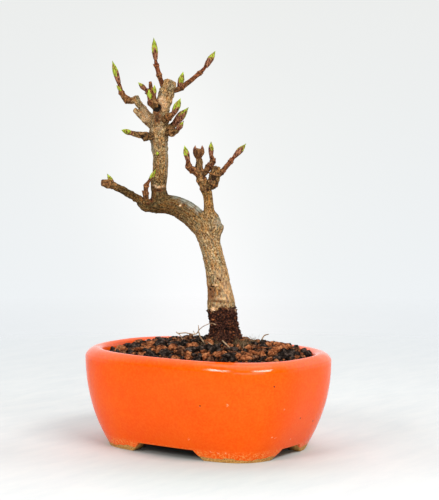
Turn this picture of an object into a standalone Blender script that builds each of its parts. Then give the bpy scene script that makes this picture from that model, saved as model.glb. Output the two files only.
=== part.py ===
"""A potted trident maple bonsai, bare in late winter, with swelling buds.

All lengths are in millimetres until a piece is finished, when its mesh is scaled to metres.
The pot lies square to X and Y. The tree's front is turned from the pot's long side, so a point
of a limb is written in the tree's own frame: across (to the right), away (to the back), up.
"""
import math
import random

import bpy
import bmesh
from mathutils import Matrix, Vector

MM = 0.001
GAP = 0.3                       # clearance between neighbouring pieces
TREE_TURN = math.radians(35.1)  # the tree's front, turned from the pot's long side

# The pot
POT_HEIGHT = 50.7
TURN_DROP = 4.1                # the lip's outer turn lies this far below its crown
TURN_UP = POT_HEIGHT - TURN_DROP
RIM_HALF = (63.9, 44.7)        # half the length and half the depth at the lip's outer turn
FOOT_HALF = (49.1, 34.4)       # the same where the feet stand
RIM_POWER = 3.1                # squareness of the plan at the rim
FOOT_POWER = 3.8               # squareness of the plan at the feet
MOUTH_POWER = 2.35             # squareness of the mouth, rounder than the outside
WALL_CURVE = 2.1               # how strongly the wall curves in towards the feet
# The lip's roll, from its outer turn over its crown: inward, below the crown
LIP = ((0.4, 2.8), (1.1, 1.5), (2.2, 0.4), (3.3, 0.0), (4.4, 0.4), (5.1, 1.4), (5.6, 3.8))
LIP_WIDTH = 5.0                # the plan turns from the rim's squareness to the mouth's over this width
WALL = 5.6
FLOOR_TOP = 10.0
FLOOR_UNDER = 5.6
FLOOR_FILLET = 3.0
FOOT_HEIGHT = 5.1
SKIRT = 6.5                    # thickness of the ring that the four feet are cut from
LONG_NOTCH = (17.4, 5.0)       # half the width of a long side's cut-out at its top, and its slant
SHORT_NOTCH = (8.2, 5.6)
NOTCH_CURVE = 1.25
NOTCH_STEPS = 5
DRAIN_RADIUS = 4.5
DRAIN_AT = 25.0
WALL_RINGS = 10
INNER_RINGS = 4
POT_SIDES = 48

# The soil
SOIL_EDGE = 47.2               # height of the soil along the wall, between its grains
SOIL_RISE = 7.5                # how far the mound rises in the middle
SOIL_CURVE = 2.5               # how broad the mound's top is
SOIL_TILT = 0.03               # the soil stands this much higher for each mm towards +X
SOIL_SEAT = 56.2               # height of the flat place that the trunk stands on
SEAT_RADIUS = 10.0
SEAT_MARGIN = 3.0              # nothing this near the seat stands higher
SOIL_GAP = 0.7                 # clears the flats of the pot's faceted inner wall
SOIL_CELLS = (44, 30)
GRAIN_SEED = 3
GRAIN_THROWS = 6000
GRAIN_COUNT = 240
GRAIN_SIZES = (3.1, 1.6)       # radius of the first and of the last grain
GRAIN_CROWD = 0.86             # grains lie at least this share of their two radii apart
GRAIN_LIFT = 0.15              # a grain's middle lies this share of its radius above the soil
GRAIN_FLATNESS = 0.8

# Twigs and buds
LIMB_SIDES = 16
TWIG_SIDES = 8
NODE_SWELLING = 1.2            # a twig is this much thicker at each of its nodes
BUD_SHAPE = ((0.0, 0.55), (0.16, 0.74), (0.36, 0.95), (0.52, 1.0), (0.73, 0.72), (0.9, 0.3), (1.0, 0.04))
SPUR_SEED = 5
SPUR_WAVER = 0.5
SPUR_RISE = 0.7                # how strongly a spur turns upward at each step
SPUR_BUD = 0.62                # its bud is this long as a share of the twig
SPUR_TAPER = 0.75
SPUR_BUD_GIRTH = 0.92

# Stations of the limbs: across, away, up, thickness
TRUNK = ((9.0, -6.0, 56.5, 18.0), (8.7, -6.0, 61.0, 15.2), (7.4, -6.0, 74.0, 14.3), (6.4, -6.0, 83.0, 12.5),
         (4.2, -5.6, 95.5, 10.8), (1.2, -4.6, 107.0, 10.9), (-1.6, -3.6, 113.7, 11.5))
OLD_CUT = ((0.6, -4.6, 109.5, 8.0), (3.8, -5.2, 113.2, 9.2), (5.5, -5.6, 116.4, 7.4))
ARCHING_BOUGH = ((-0.6, -3.9, 112.4, 11.0), (-5.2, -2.8, 117.4, 11.6), (-9.3, -1.5, 121.0, 11.3),
                 (-15.0, 0.0, 124.2, 10.5), (-20.0, 1.0, 125.5, 10.0), (-24.4, 1.4, 125.6, 9.3),
                 (-28.6, 1.2, 124.8, 7.8))
LEADER = ((-23.8, 1.6, 126.0, 7.0), (-24.5, 1.9, 130.5, 8.9), (-24.9, 2.0, 134.0, 8.0), (-23.8, 0.8, 148.5, 8.0),
          (-24.7, 0.0, 163.5, 9.4), (-22.7, 0.0, 176.0, 7.9), (-20.4, 0.9, 183.8, 7.7), (-18.4, 1.9, 189.2, 6.2))
FRONT_STUB = ((-24.6, -1.5, 165.5, 5.4), (-25.2, -5.0, 171.0, 4.5), (-25.2, -7.4, 174.4, 4.2))
CROWN_LEFT_BOUGH = ((-25.4, 1.2, 164.8, 6.0), (-30.2, 3.0, 168.9, 6.6), (-34.4, 4.6, 174.2, 5.5),
                    (-36.8, 6.0, 178.4, 4.6), (-37.2, 6.6, 181.2, 4.3))
OLD_SPUR = ((-29.0, 1.8, 166.4, 3.6), (-34.2, 2.4, 171.2, 3.4), (-37.6, 3.2, 174.6, 2.6))
LEFT_BOUGH = ((-27.2, 1.3, 124.6, 7.2), (-31.4, 0.5, 124.9, 6.4), (-35.2, -1.2, 128.3, 4.5),
              (-41.0, -4.4, 131.8, 4.1), (-47.0, -8.0, 135.2, 3.7))
RIGHT_BOUGH = ((0.4, -4.2, 112.0, 9.0), (1.4, -4.4, 118.0, 6.9), (1.1, -4.8, 123.5, 5.5),
               (0.6, -5.4, 129.5, 4.9), (-0.1, -5.8, 132.6, 5.6))

GLAZE = (0.83, 0.115, 0.012)
BARK = (0.30, 0.215, 0.11)
YOUNG_BARK = (0.17, 0.065, 0.03)
EARTH = (0.05, 0.024, 0.013)


def world(across, away, up):
    """Turns a point of the tree's own frame into the pot's frame."""
    c = math.cos(TREE_TURN)
    s = math.sin(TREE_TURN)
    return Vector((across * c - away * s, across * s + away * c, up))


def smooth_curve(stations, steps=3):
    """Reads a smooth curve through stations of across, away, up, thickness: (centre, radius) pairs."""
    known = [Vector(station) for station in stations]
    known = [2 * known[0] - known[1]] + known + [2 * known[-1] - known[-2]]
    read = []
    for a, b, c, d in zip(known, known[1:], known[2:], known[3:]):
        for step in range(steps):
            t = step / steps
            read.append(b + 0.5 * ((c - a) * t + (2 * a - 5 * b + 4 * c - d) * t ** 2
                                   + (3 * b - a - 3 * c + d) * t ** 3))
    read.append(known[-2])
    return [(world(point[0], point[1], point[2]), point[3] / 2) for point in read]


def ring_edges(verts):
    """The edges of one ring of vertices."""
    return list({edge for vert in verts for edge in vert.link_edges})


def close_skin(bm, rings):
    """Bridges each ring to the next and closes the first and the last."""
    for low, high in zip(rings, rings[1:]):
        bmesh.ops.bridge_loops(bm, edges=low + high)
    for ring in (rings[0], rings[-1]):
        bmesh.ops.edgeloop_fill(bm, edges=ring)
    bmesh.ops.recalc_face_normals(bm, faces=bm.faces)
    return bm


def tube(curve, sides, first_way=None, grow=0.0):
    """Sweeps a round section along (centre, radius) pairs and closes both ends."""
    centres = [centre.copy() for centre, _ in curve]
    ahead = centres[1:] + [centres[-1]]
    behind = [centres[0]] + centres[:-1]
    ways = [(far - near).normalized() for near, far in zip(behind, ahead)]
    if first_way is not None:
        ways[0] = first_way
    centres[0] -= ways[0] * grow
    centres[-1] += ways[-1] * grow
    bm = bmesh.new()
    side = ways[0].orthogonal()
    rings = []
    for centre, way, (_, radius) in zip(centres, ways, curve):
        side = (side - way * side.dot(way)).normalized()
        frame = Matrix((side, way.cross(side), way)).transposed().to_4x4()
        frame.translation = centre
        made = bmesh.ops.create_circle(bm, segments=sides, radius=radius + grow, matrix=frame)
        rings.append(ring_edges(made["verts"]))
    return close_skin(bm, rings)


def limb(stations, first_way=None, grow=0.0):
    """A trunk or bough: one smooth tapering limb."""
    return tube(smooth_curve(stations), LIMB_SIDES, first_way, grow)


def twig(points, root, end):
    """A twig from its root through its nodes; it tapers from root to end and swells at each node."""
    last = len(points) - 1
    stations = []
    for place, point in enumerate(points):
        thick = root + (end - root) * place / last
        if 0 < place < last:
            thick *= NODE_SWELLING
        stations.append((*point, thick))
    return tube(smooth_curve(stations, 2), TWIG_SIDES)


def bud(foot, tip, width):
    """A slender bud, its foot sunk in the twig that carries it."""
    low = world(*foot)
    high = world(*tip)
    curve = [(low.lerp(high, along), width / 2 * wide) for along, wide in BUD_SHAPE]
    return tube(curve, TWIG_SIDES)


def spur(seed, root, way, length, thick):
    """A short twig that leaves its limb along a way, turns upward by a seeded rule and ends in a bud."""
    chance = random.Random(seed)
    points = [Vector(root)]
    heading = Vector(way).normalized()
    for _ in range(2):
        points.append(points[-1] + heading * length / 3)
        waver = Vector([chance.uniform(-SPUR_WAVER, SPUR_WAVER) for _ in range(3)])
        heading = (heading + Vector((0.0, 0.0, SPUR_RISE)) + waver).normalized()
    foot = points[-1].lerp(points[-2], 0.15)
    tip = points[-1] + heading * length * SPUR_BUD
    return [twig(points, thick, thick * SPUR_TAPER), bud(foot, tip, thick * SPUR_BUD_GIRTH)]


def loose(bm, name):
    """Puts a mesh in a new object of the scene."""
    mesh = bpy.data.meshes.new(name)
    bm.to_mesh(mesh)
    bm.free()
    obj = bpy.data.objects.new(name, mesh)
    bpy.context.scene.collection.objects.link(obj)
    return obj


def settle(obj):
    """Turns the object's modifiers into its mesh."""
    graph = bpy.context.evaluated_depsgraph_get()
    mesh = bpy.data.meshes.new_from_object(obj.evaluated_get(graph))
    obj.modifiers.clear()
    before = obj.data
    obj.data = mesh
    bpy.data.meshes.remove(before)


def fuse(name, pieces):
    """Joins closed pieces, which run into each other, into one."""
    body = loose(pieces[0], name)
    group = bpy.data.collections.new(name)
    bpy.context.scene.collection.children.link(group)
    for piece in pieces[1:]:
        helper = loose(piece, name)
        bpy.context.scene.collection.objects.unlink(helper)
        group.objects.link(helper)
    join = body.modifiers.new("Join", "BOOLEAN")
    join.operation = "UNION"
    join.operand_type = "COLLECTION"
    join.collection = group
    join.solver = "EXACT"
    settle(body)
    for helper in list(group.objects):
        bpy.data.objects.remove(helper)
    bpy.data.collections.remove(group)
    return body


def cut(body, cutters):
    """Takes each cutter's space out of the body."""
    for cutter in cutters:
        tool = loose(cutter, "cutter")
        take = body.modifiers.new("Cut", "BOOLEAN")
        take.operation = "DIFFERENCE"
        take.solver = "EXACT"
        take.object = tool
        settle(body)
        bpy.data.objects.remove(tool)
    return body


def finish(obj, colour, roughness):
    """Gives the piece its own material, scales its mesh to metres and shades it smooth."""
    surface = bpy.data.materials.new(obj.name)
    surface.use_nodes = True
    shader = surface.node_tree.nodes["Principled BSDF"]
    shader.inputs["Base Color"].default_value = (*colour, 1.0)
    shader.inputs["Roughness"].default_value = roughness
    shader.inputs["Metallic"].default_value = 0.0
    obj.data.materials.clear()
    obj.data.materials.append(surface)
    obj.data.transform(Matrix.Scale(MM, 4))
    obj.data.shade_smooth()
    obj.data.set_sharp_from_angle(angle=math.radians(40))


def oval_point(half, power, angle):
    """A point of a plan between an ellipse and a rectangle, seen from its middle at this angle."""
    c = math.cos(angle)
    s = math.sin(angle)
    reach = (abs(c / half[0]) ** power + abs(s / half[1]) ** power) ** (-1 / power)
    return reach * c, reach * s


def wall_plan(up, inset, power=None):
    """The wall's plan at a height, drawn in by an inset: half sizes and squareness."""
    share = 1 - (1 - min(up / TURN_UP, 1.0)) ** WALL_CURVE
    half = [foot + (rim - foot) * share - inset for foot, rim in zip(FOOT_HALF, RIM_HALF)]
    return half, power or FOOT_POWER + (RIM_POWER - FOOT_POWER) * share


def shell(plans, sides):
    """Bridges oval plans, each ((half sizes, squareness), height), into one closed skin."""
    bm = bmesh.new()
    rings = []
    for (half, power), up in plans:
        made = bmesh.ops.create_circle(bm, segments=sides, radius=1.0)["verts"]
        for vert in made:
            vert.co = (*oval_point(half, power, math.atan2(vert.co.y, vert.co.x)), up)
        rings.append(ring_edges(made))
    return close_skin(bm, rings)


def notch(top_half, slant, reach):
    """A bar with curved flanks, wide at the bottom, that parts the feet of two facing sides."""
    flank = [(top_half + slant + 1.0, -2.0)]
    for step in range(NOTCH_STEPS + 1):
        share = step / NOTCH_STEPS
        flank.append((top_half + slant * (1 - share) ** NOTCH_CURVE, FOOT_HEIGHT * share))
    outline = flank + [(-wide, up) for wide, up in reversed(flank)]
    bm = bmesh.new()
    face = bm.faces.new([bm.verts.new((wide, -reach, up)) for wide, up in outline])
    pulled = bmesh.ops.extrude_face_region(bm, geom=[face])["geom"]
    far = [item for item in pulled if isinstance(item, bmesh.types.BMVert)]
    bmesh.ops.translate(bm, verts=far, vec=(0.0, 2 * reach, 0.0))
    bmesh.ops.recalc_face_normals(bm, faces=bm.faces)
    return bm


def drain(x):
    """A rod that bores a drain hole through the floor."""
    bm = bmesh.new()
    middle = Matrix.Translation((x, 0.0, (FLOOR_UNDER + FLOOR_TOP) / 2))
    bmesh.ops.create_cone(bm, cap_ends=True, segments=20, radius1=DRAIN_RADIUS, radius2=DRAIN_RADIUS,
                          depth=2 * (FLOOR_TOP - FLOOR_UNDER), matrix=middle)
    return bm


def make_pot():
    """The pot: curved wall, rolled lip, floor with two drain holes, and four feet cut from a skirt."""
    skirt = wall_plan(0.0, SKIRT)
    plans = [(skirt, FLOOR_UNDER), (skirt, 0.0)]
    for step in range(WALL_RINGS + 1):
        up = TURN_UP * step / WALL_RINGS
        plans.append((wall_plan(up, 0.0), up))
    for inward, drop in LIP:
        power = RIM_POWER + (MOUTH_POWER - RIM_POWER) * min(inward / LIP_WIDTH, 1.0)
        plans.append((wall_plan(TURN_UP, inward, power), POT_HEIGHT - drop))
    low = FLOOR_TOP + FLOOR_FILLET
    for step in range(INNER_RINGS):
        up = TURN_UP + (low - TURN_UP) * (step + 1) / INNER_RINGS
        plans.append((wall_plan(up, WALL, MOUTH_POWER), up))
    plans.append((wall_plan(FLOOR_TOP, WALL + FLOOR_FILLET, MOUTH_POWER), FLOOR_TOP))
    pot = loose(shell(plans, POT_SIDES), "pot")
    short = notch(*SHORT_NOTCH, RIM_HALF[0])
    bmesh.ops.rotate(short, verts=short.verts, matrix=Matrix.Rotation(math.pi / 2, 3, "Z"))
    finish(cut(pot, [notch(*LONG_NOTCH, RIM_HALF[1]), short, drain(-DRAIN_AT), drain(DRAIN_AT)]), GLAZE, 0.2)


def mouth_share(x, y):
    """How far out in the soil a point lies: 0 in the middle, 1 at the wall."""
    half, power = wall_plan(SOIL_EDGE, WALL + SOIL_GAP, MOUTH_POWER)
    return (abs(x / half[0]) ** power + abs(y / half[1]) ** power) ** (1 / power)


def ground(x, y):
    """Height of the mounded soil between its grains."""
    return SOIL_EDGE + SOIL_RISE * (1 - min(mouth_share(x, y), 1.0) ** SOIL_CURVE) + SOIL_TILT * x


def from_seat(x, y):
    """Distance from the middle of the trunk's foot."""
    seat = world(*TRUNK[0][:3])
    return math.hypot(x - seat.x, y - seat.y)


def coarse_grains():
    """Throws grains on the soil, the largest first, and keeps each that finds room: x, y, radius."""
    chance = random.Random(GRAIN_SEED)
    big, small = GRAIN_SIZES
    kept = []
    for _ in range(GRAIN_THROWS):
        radius = big - (big - small) * len(kept) / GRAIN_COUNT
        x = chance.uniform(-RIM_HALF[0], RIM_HALF[0])
        y = chance.uniform(-RIM_HALF[1], RIM_HALF[1])
        edge = 1 - radius / RIM_HALF[1]
        free = all(math.hypot(x - other[0], y - other[1]) > GRAIN_CROWD * (radius + other[2]) for other in kept)
        if free and mouth_share(x, y) < edge and from_seat(x, y) > SEAT_RADIUS and len(kept) < GRAIN_COUNT:
            kept.append((x, y, radius))
    return kept


def soil_height(x, y, grains):
    """Height of the soil with its coarse grains; the trunk's seat is flat."""
    up = ground(x, y)
    for grain_x, grain_y, radius in grains:
        apart = math.hypot(x - grain_x, y - grain_y)
        if apart < radius:
            dome = GRAIN_LIFT * radius + GRAIN_FLATNESS * math.sqrt(radius ** 2 - apart ** 2)
            up = max(up, ground(grain_x, grain_y) + dome)
    if from_seat(x, y) < SEAT_RADIUS:
        return SOIL_SEAT
    return min(up, SOIL_SEAT) if from_seat(x, y) < SEAT_RADIUS + SEAT_MARGIN else up


def make_soil():
    """The soil that fills the pot: a mound of coarse grit, and walls that follow the pot's inside."""
    bm = bmesh.new()
    grains = coarse_grains()
    across, along = SOIL_CELLS
    half, power = wall_plan(SOIL_EDGE, WALL + SOIL_GAP, MOUTH_POWER)
    for vert in bmesh.ops.create_grid(bm, x_segments=across, y_segments=along, size=1.0)["verts"]:
        share = max(abs(vert.co.x), abs(vert.co.y))
        x, y = oval_point(half, power, math.atan2(vert.co.y * half[1], vert.co.x * half[0]))
        x, y = x * share, y * share
        vert.co = (x, y, soil_height(x, y, grains) if share < 1 else ground(x, y))
    rim = [edge for edge in bm.edges if edge.is_boundary]
    low = FLOOR_TOP + FLOOR_FILLET + GAP
    levels = [(SOIL_EDGE + (low - SOIL_EDGE) * (step + 1) / INNER_RINGS, 0.0) for step in range(INNER_RINGS)]
    for up, inward in levels + [(FLOOR_TOP + GAP, FLOOR_FILLET)]:
        pulled = bmesh.ops.extrude_edge_only(bm, edges=rim)["geom"]
        rim = [item for item in pulled if isinstance(item, bmesh.types.BMEdge)]
        half, power = wall_plan(up, WALL + SOIL_GAP + inward, MOUTH_POWER)
        for vert in {vert for edge in rim for vert in edge.verts}:
            vert.co = (*oval_point(half, power, math.atan2(vert.co.y, vert.co.x)), up)
    bmesh.ops.edgeloop_fill(bm, edges=rim)
    bmesh.ops.recalc_face_normals(bm, faces=bm.faces)
    finish(loose(bm, "soil"), EARTH, 0.9)


def grown(*limbs):
    """Copies of limbs, thicker by the clearance, that cut their room out of what meets them."""
    return [limb(stations, grow=GAP) for stations in limbs]


def make_limbs():
    """Trunk and boughs, each cut clear of the one that carries it."""
    leader = fuse("leader", [limb(LEADER), limb(FRONT_STUB)])
    crown_left = fuse("crown_left_bough", [limb(CROWN_LEFT_BOUGH), limb(OLD_SPUR)])
    bark = [
        fuse("trunk", [limb(TRUNK, Vector((0.0, 0.0, 1.0))), limb(OLD_CUT)]),
        cut(loose(limb(ARCHING_BOUGH), "arching_bough"), grown(TRUNK, OLD_CUT)),
        cut(leader, grown(ARCHING_BOUGH)),
        cut(loose(limb(LEFT_BOUGH), "left_bough"), grown(ARCHING_BOUGH, LEADER)),
        cut(loose(limb(RIGHT_BOUGH), "right_bough"), grown(TRUNK, OLD_CUT, ARCHING_BOUGH)),
        cut(crown_left, grown(LEADER, FRONT_STUB)),
    ]
    for obj in bark:
        finish(obj, BARK, 0.85)


def crown_spire():
    """The upright twig on the pruned top; its bud is the tree's highest point."""
    return [twig([(-22.0, 0.4, 184.2), (-24.4, 0.0, 192.0), (-25.7, 0.3, 196.6), (-26.3, 0.0, 200.4)], 2.7, 1.9),
            bud((-26.2, 0.1, 199.8), (-27.1, -1.0, 211.0), 2.9)]


def crown_right_twigs():
    """The long twig that rises to the right of the pruned top, with a small bud at its foot."""
    return [twig([(-18.6, 1.8, 183.6), (-13.0, 4.5, 185.8), (-3.9, 11.0, 193.3), (-0.3, 13.4, 197.2)], 2.8, 2.0),
            bud((-0.6, 13.2, 196.8), (4.4, 17.0, 205.2), 3.1),
            bud((-14.2, 3.9, 185.9), (-12.1, 2.0, 193.8), 3.0)]


def crown_left_twigs():
    """The twig that curves up from the left bough's knob, with one side bud."""
    return [twig([(-36.4, 6.2, 179.3), (-41.2, 8.0, 179.5), (-44.3, 9.8, 183.2), (-45.9, 11.4, 188.9)], 3.6, 2.2),
            bud((-45.8, 11.3, 188.4), (-49.4, 14.5, 200.0), 3.0),
            bud((-43.9, 9.5, 183.2), (-46.9, 8.6, 187.0), 1.7)]


def crown_heart_twigs():
    """The close cluster of little twigs in front of the pruned top."""
    return [twig([(-25.2, 0.0, 173.0), (-27.2, -2.8, 177.6), (-27.0, -3.6, 181.4)], 3.8, 3.0),
            twig([(-27.0, -3.6, 180.6), (-29.4, -5.0, 182.5), (-31.2, -5.7, 184.4)], 2.4, 2.1),
            bud((-30.8, -5.6, 184.0), (-34.9, -7.0, 188.0), 2.4),
            twig([(-27.1, -3.5, 180.4), (-28.4, -3.2, 184.0), (-28.9, -3.0, 188.6)], 2.5, 2.0),
            bud((-26.9, -3.8, 180.8), (-26.6, -4.4, 186.8), 2.3),
            twig([(-27.2, -3.0, 176.6), (-28.8, -6.0, 177.6), (-29.2, -7.0, 179.0)], 2.6, 2.1),
            bud((-29.1, -6.9, 178.6), (-29.3, -8.0, 184.6), 2.4)]


def crown_front_bud():
    """A short twig to the right, in front of the leader."""
    return [twig([(-23.4, -1.8, 168.2), (-19.4, -5.4, 170.3), (-16.6, -7.0, 172.4)], 3.6, 2.6),
            bud((-16.9, -6.9, 172.0), (-13.2, -9.0, 179.9), 3.4)]


def crown_side_buds():
    """Two thick spurs on the leader's right side."""
    return [twig([(-22.6, -0.2, 161.6), (-19.0, -1.2, 164.3), (-16.6, -2.2, 167.2)], 3.7, 3.1),
            bud((-17.1, -2.0, 166.5), (-9.2, -5.0, 175.4), 3.9),
            twig([(-21.4, -1.4, 161.8), (-17.7, -5.0, 162.5), (-14.6, -7.4, 164.1)], 3.2, 2.6),
            bud((-15.0, -7.1, 163.8), (-11.9, -9.5, 168.0), 2.6)]


def crown_level_twig():
    """The short level twig on the leader's left side."""
    return [twig([(-26.4, -1.8, 160.1), (-31.4, -4.8, 160.8), (-38.0, -9.5, 162.2)], 3.6, 2.7),
            bud((-37.5, -9.2, 162.0), (-43.2, -13.0, 163.8), 2.8)]


def crown_back_twig():
    """A short twig at the back of the leader, like those at its front."""
    return spur(SPUR_SEED, (-24.4, 2.4, 160.5), (-0.1, 1.0, 0.35), 12.0, 3.4)


def low_back_spur():
    """A small spur low on the back of the leader."""
    return spur(SPUR_SEED + 1, (-24.0, 2.2, 146.5), (0.0, 1.0, 0.3), 9.5, 2.9)


def elbow_twig():
    """The thin twig that climbs beside the leader's foot."""
    return [twig([(-31.2, 0.2, 125.6), (-31.4, -2.6, 131.2), (-31.0, -4.0, 135.2), (-29.3, -5.5, 138.2)], 2.9, 1.9),
            bud((-29.5, -5.3, 137.8), (-25.9, -7.8, 143.8), 2.0)]


def left_tip_twigs():
    """The left bough's end: a pruned spur and a bud."""
    return [twig([(-46.0, -7.4, 134.6), (-50.2, -9.9, 136.4), (-53.2, -11.5, 137.0)], 3.4, 3.8),
            bud((-47.4, -8.2, 135.4), (-50.7, -9.0, 141.6), 2.5)]


def right_crown_twigs():
    """The right bough's forked head: a pruned stub, a bud-ringed stub and three budded twigs."""
    ball = ((-3.9, -8.2, 149.6, 3.1), (-4.1, -8.2, 151.8, 5.2), (-4.1, -8.2, 154.0, 5.6), (-4.1, -8.2, 154.9, 3.6))
    return [twig([(-0.1, -5.8, 132.2), (-0.6, -6.3, 134.5), (-2.6, -7.6, 138.6), (-3.7, -8.2, 143.0),
                  (-3.9, -8.2, 150.4)], 5.0, 3.1),
            tube(smooth_curve(ball, 2), TWIG_SIDES),
            bud((-5.3, -8.2, 152.2), (-5.6, -8.2, 156.7), 1.7),
            bud((-2.9, -8.2, 152.2), (-2.5, -8.2, 156.7), 1.7),
            twig([(-3.2, -8.0, 140.4), (-7.0, -10.5, 143.4), (-9.0, -11.8, 145.4), (-9.5, -12.4, 148.9)], 3.4, 2.6),
            bud((-9.4, -12.3, 148.3), (-11.2, -13.5, 156.0), 2.9),
            twig([(-2.4, -7.4, 140.2), (1.2, -3.2, 144.8), (2.9, -1.2, 147.6), (2.1, -0.4, 151.0)], 3.2, 2.4),
            bud((2.2, -0.5, 150.5), (2.2, 0.4, 158.0), 2.7),
            twig([(-0.4, -6.0, 133.8), (3.0, -6.8, 136.8), (4.8, -7.2, 141.6), (5.5, -7.4, 145.5)], 5.0, 4.2),
            twig([(4.6, -6.8, 139.8), (7.5, -4.2, 142.2), (12.1, -1.0, 147.5), (14.4, 0.6, 150.4)], 2.8, 2.1),
            bud((14.0, 0.4, 149.9), (20.3, 3.6, 156.9), 2.9)]


def make_twigs():
    """The masses of twigs and buds, each cut clear of the limb that carries it."""
    top = (LEADER, FRONT_STUB)
    for build, carriers in ((crown_spire, top), (crown_right_twigs, top), (crown_left_twigs, (CROWN_LEFT_BOUGH,)),
                            (crown_heart_twigs, top), (crown_front_bud, top), (crown_side_buds, top),
                            (crown_level_twig, top), (crown_back_twig, top), (low_back_spur, top),
                            (elbow_twig, (LEFT_BOUGH, ARCHING_BOUGH, LEADER)), (left_tip_twigs, (LEFT_BOUGH,)),
                            (right_crown_twigs, (RIGHT_BOUGH,))):
        mass = fuse(build.__name__, build())
        finish(cut(mass, grown(*carriers)), YOUNG_BARK, 0.7)


for old in list(bpy.data.objects):
    bpy.data.objects.remove(old)
make_pot()
make_soil()
make_limbs()
make_twigs()
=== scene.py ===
"""A potted trident maple bonsai in late winter, in its orange glazed pot.

Lengths are in millimetres until a piece is finished, when its mesh is scaled to metres. The pot
lies square to X and Y. A point of the tree is written in the tree's own frame, which is turned
from the pot's long side: across (to the right), away (to the back), up.
"""
import math
import random
from collections import namedtuple

import bmesh
import bpy
import numpy as np
from mathutils import Matrix, Vector, noise

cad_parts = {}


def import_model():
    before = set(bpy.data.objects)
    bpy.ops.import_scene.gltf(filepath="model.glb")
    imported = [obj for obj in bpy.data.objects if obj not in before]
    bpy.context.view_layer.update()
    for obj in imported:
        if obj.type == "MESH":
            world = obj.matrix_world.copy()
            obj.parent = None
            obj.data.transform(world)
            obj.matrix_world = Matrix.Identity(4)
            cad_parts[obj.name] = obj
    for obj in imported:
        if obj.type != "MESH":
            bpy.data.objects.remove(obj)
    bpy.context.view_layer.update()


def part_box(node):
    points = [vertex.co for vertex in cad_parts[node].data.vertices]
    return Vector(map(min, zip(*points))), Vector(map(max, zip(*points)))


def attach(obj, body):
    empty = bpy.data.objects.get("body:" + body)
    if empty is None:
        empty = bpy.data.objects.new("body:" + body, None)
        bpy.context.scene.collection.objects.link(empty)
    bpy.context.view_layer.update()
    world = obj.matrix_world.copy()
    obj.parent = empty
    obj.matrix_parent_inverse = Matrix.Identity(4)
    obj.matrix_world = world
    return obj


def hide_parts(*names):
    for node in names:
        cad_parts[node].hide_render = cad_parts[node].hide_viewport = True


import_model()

MM = 0.001
TREE_TURN = math.radians(35.1)  # the tree's front, turned from the pot's long side

# The pot, its length, depth and height read from the frame
pot_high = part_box("pot")[1]
RIM_HALF = (round(pot_high.x / MM, 1), round(pot_high.y / MM, 1))
POT_HEIGHT = round(pot_high.z / MM, 1)
TURN_DROP = 4.1                # the lip's outer turn lies this far below its crown
TURN_UP = POT_HEIGHT - TURN_DROP
FOOT_HALF = (49.1, 34.4)
RIM_POWER = 3.1
FOOT_POWER = 3.8
MOUTH_POWER = 2.35
WALL_CURVE = 2.1
# The lip's roll, from its outer turn over its crown: inward, below the crown
LIP = ((0.0, TURN_DROP), (0.4, 2.8), (1.1, 1.5), (2.2, 0.4), (3.3, 0.0), (4.4, 0.4), (5.1, 1.4), (5.6, 3.8))
LIP_WIDTH = 5.0
LIP_STEPS = 4
WALL = 5.6
FLOOR_TOP = 10.0
FLOOR_UNDER = 5.6
FLOOR_FILLET = 3.0
FOOT_HEIGHT = 5.1
SKIRT = 6.5
LONG_NOTCH = (17.4, 5.0)
SHORT_NOTCH = (8.2, 5.6)
NOTCH_CURVE = 1.25
DRAIN_RADIUS = 4.5
DRAIN_AT = 25.0
WALL_RINGS = 40
INNER_RINGS = 8
POT_SIDES = 240
HAND_WOBBLE = 0.35             # the wall is this uneven at most, always inward
WOBBLE_SIZE = 26.0
SOFT_EDGE = 0.7                # how far the cut edges of feet and holes are rounded
SOFT_ANGLE = 42.0              # edges that turn by more degrees than this are rounded
SHARP_ANGLE = 50.0             # and those that turn by more than this are shaded sharp
BARE_DEPTH = 4.0               # the clay is bare this far in from the wall, under the pot
INNER_FROM = 40.0              # the inner wall is glazed like the lip from this height up
WALL_SHEEN = 0.13              # how strongly the wall's glaze mirrors
# Where the glaze lies thicker: from this height up, its name, how strongly it mirrors
THICKER_GLAZES = ((TURN_UP - 1.2, "thicker_glaze", 0.3), (TURN_UP + 0.6, "pooled_glaze", 0.6))
PINHOLE_RADIUS = 0.42
CHIP_RADIUS = 0.5
PINHOLES =((59.0, -26.3, 39.4), (26.1, -42.4, 29.0), (59.5, -3.1, 20.6), (57.8, 11.3, 17.0))
CHIPS = ((40.6, -39.6, 30.3), (60.0, -18.7, 27.2), (54.3, -21.2, 13.1), (54.7, -18.9, 12.7), (54.9, -5.1, 10.0),
         (16.4, -38.6, 10.8), (27.5, -35.5, 5.2), (31.5, -34.8, 5.0), (35.6, -33.8, 5.2), (37.0, -33.4, 4.6))

# The soil and what lies on it
SOIL_EDGE = 47.2
SOIL_RISE = 7.5
SOIL_CURVE = 2.5
SOIL_TILT = 0.03
SOIL_GAP = 0.7
SOIL_SINK = 0.5                # the dark fines lie this much lower than the soil between the coarse grains
SOIL_LOW = 30.0                # and reach down to here
SOIL_LID = 60.0                # the height of their top before it is lowered onto the mound
SOIL_RINGS = 48
SOIL_SIDES = 200
SEAT_RADIUS = 10.0             # coarse grains keep this far from the middle of the trunk's foot
GRAIN_SEED = 3
GRAIN_THROWS = 6000
GRAIN_COUNT = 240
GRAIN_SIZES = (3.1, 1.6)
GRAIN_CROWD = 0.86
GRAIN_LIFT = 0.15
FLARE_REACH = 7.4              # small grains lie up to the trunk's flare
GRAIN_FLATS = 7                # flats knocked off each grain
GRIT_SEED = 3
GRIT_KINDS = ("black", "rust", "brown")
COARSE_SHARES = (0.45, 0.38, 0.17)
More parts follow.
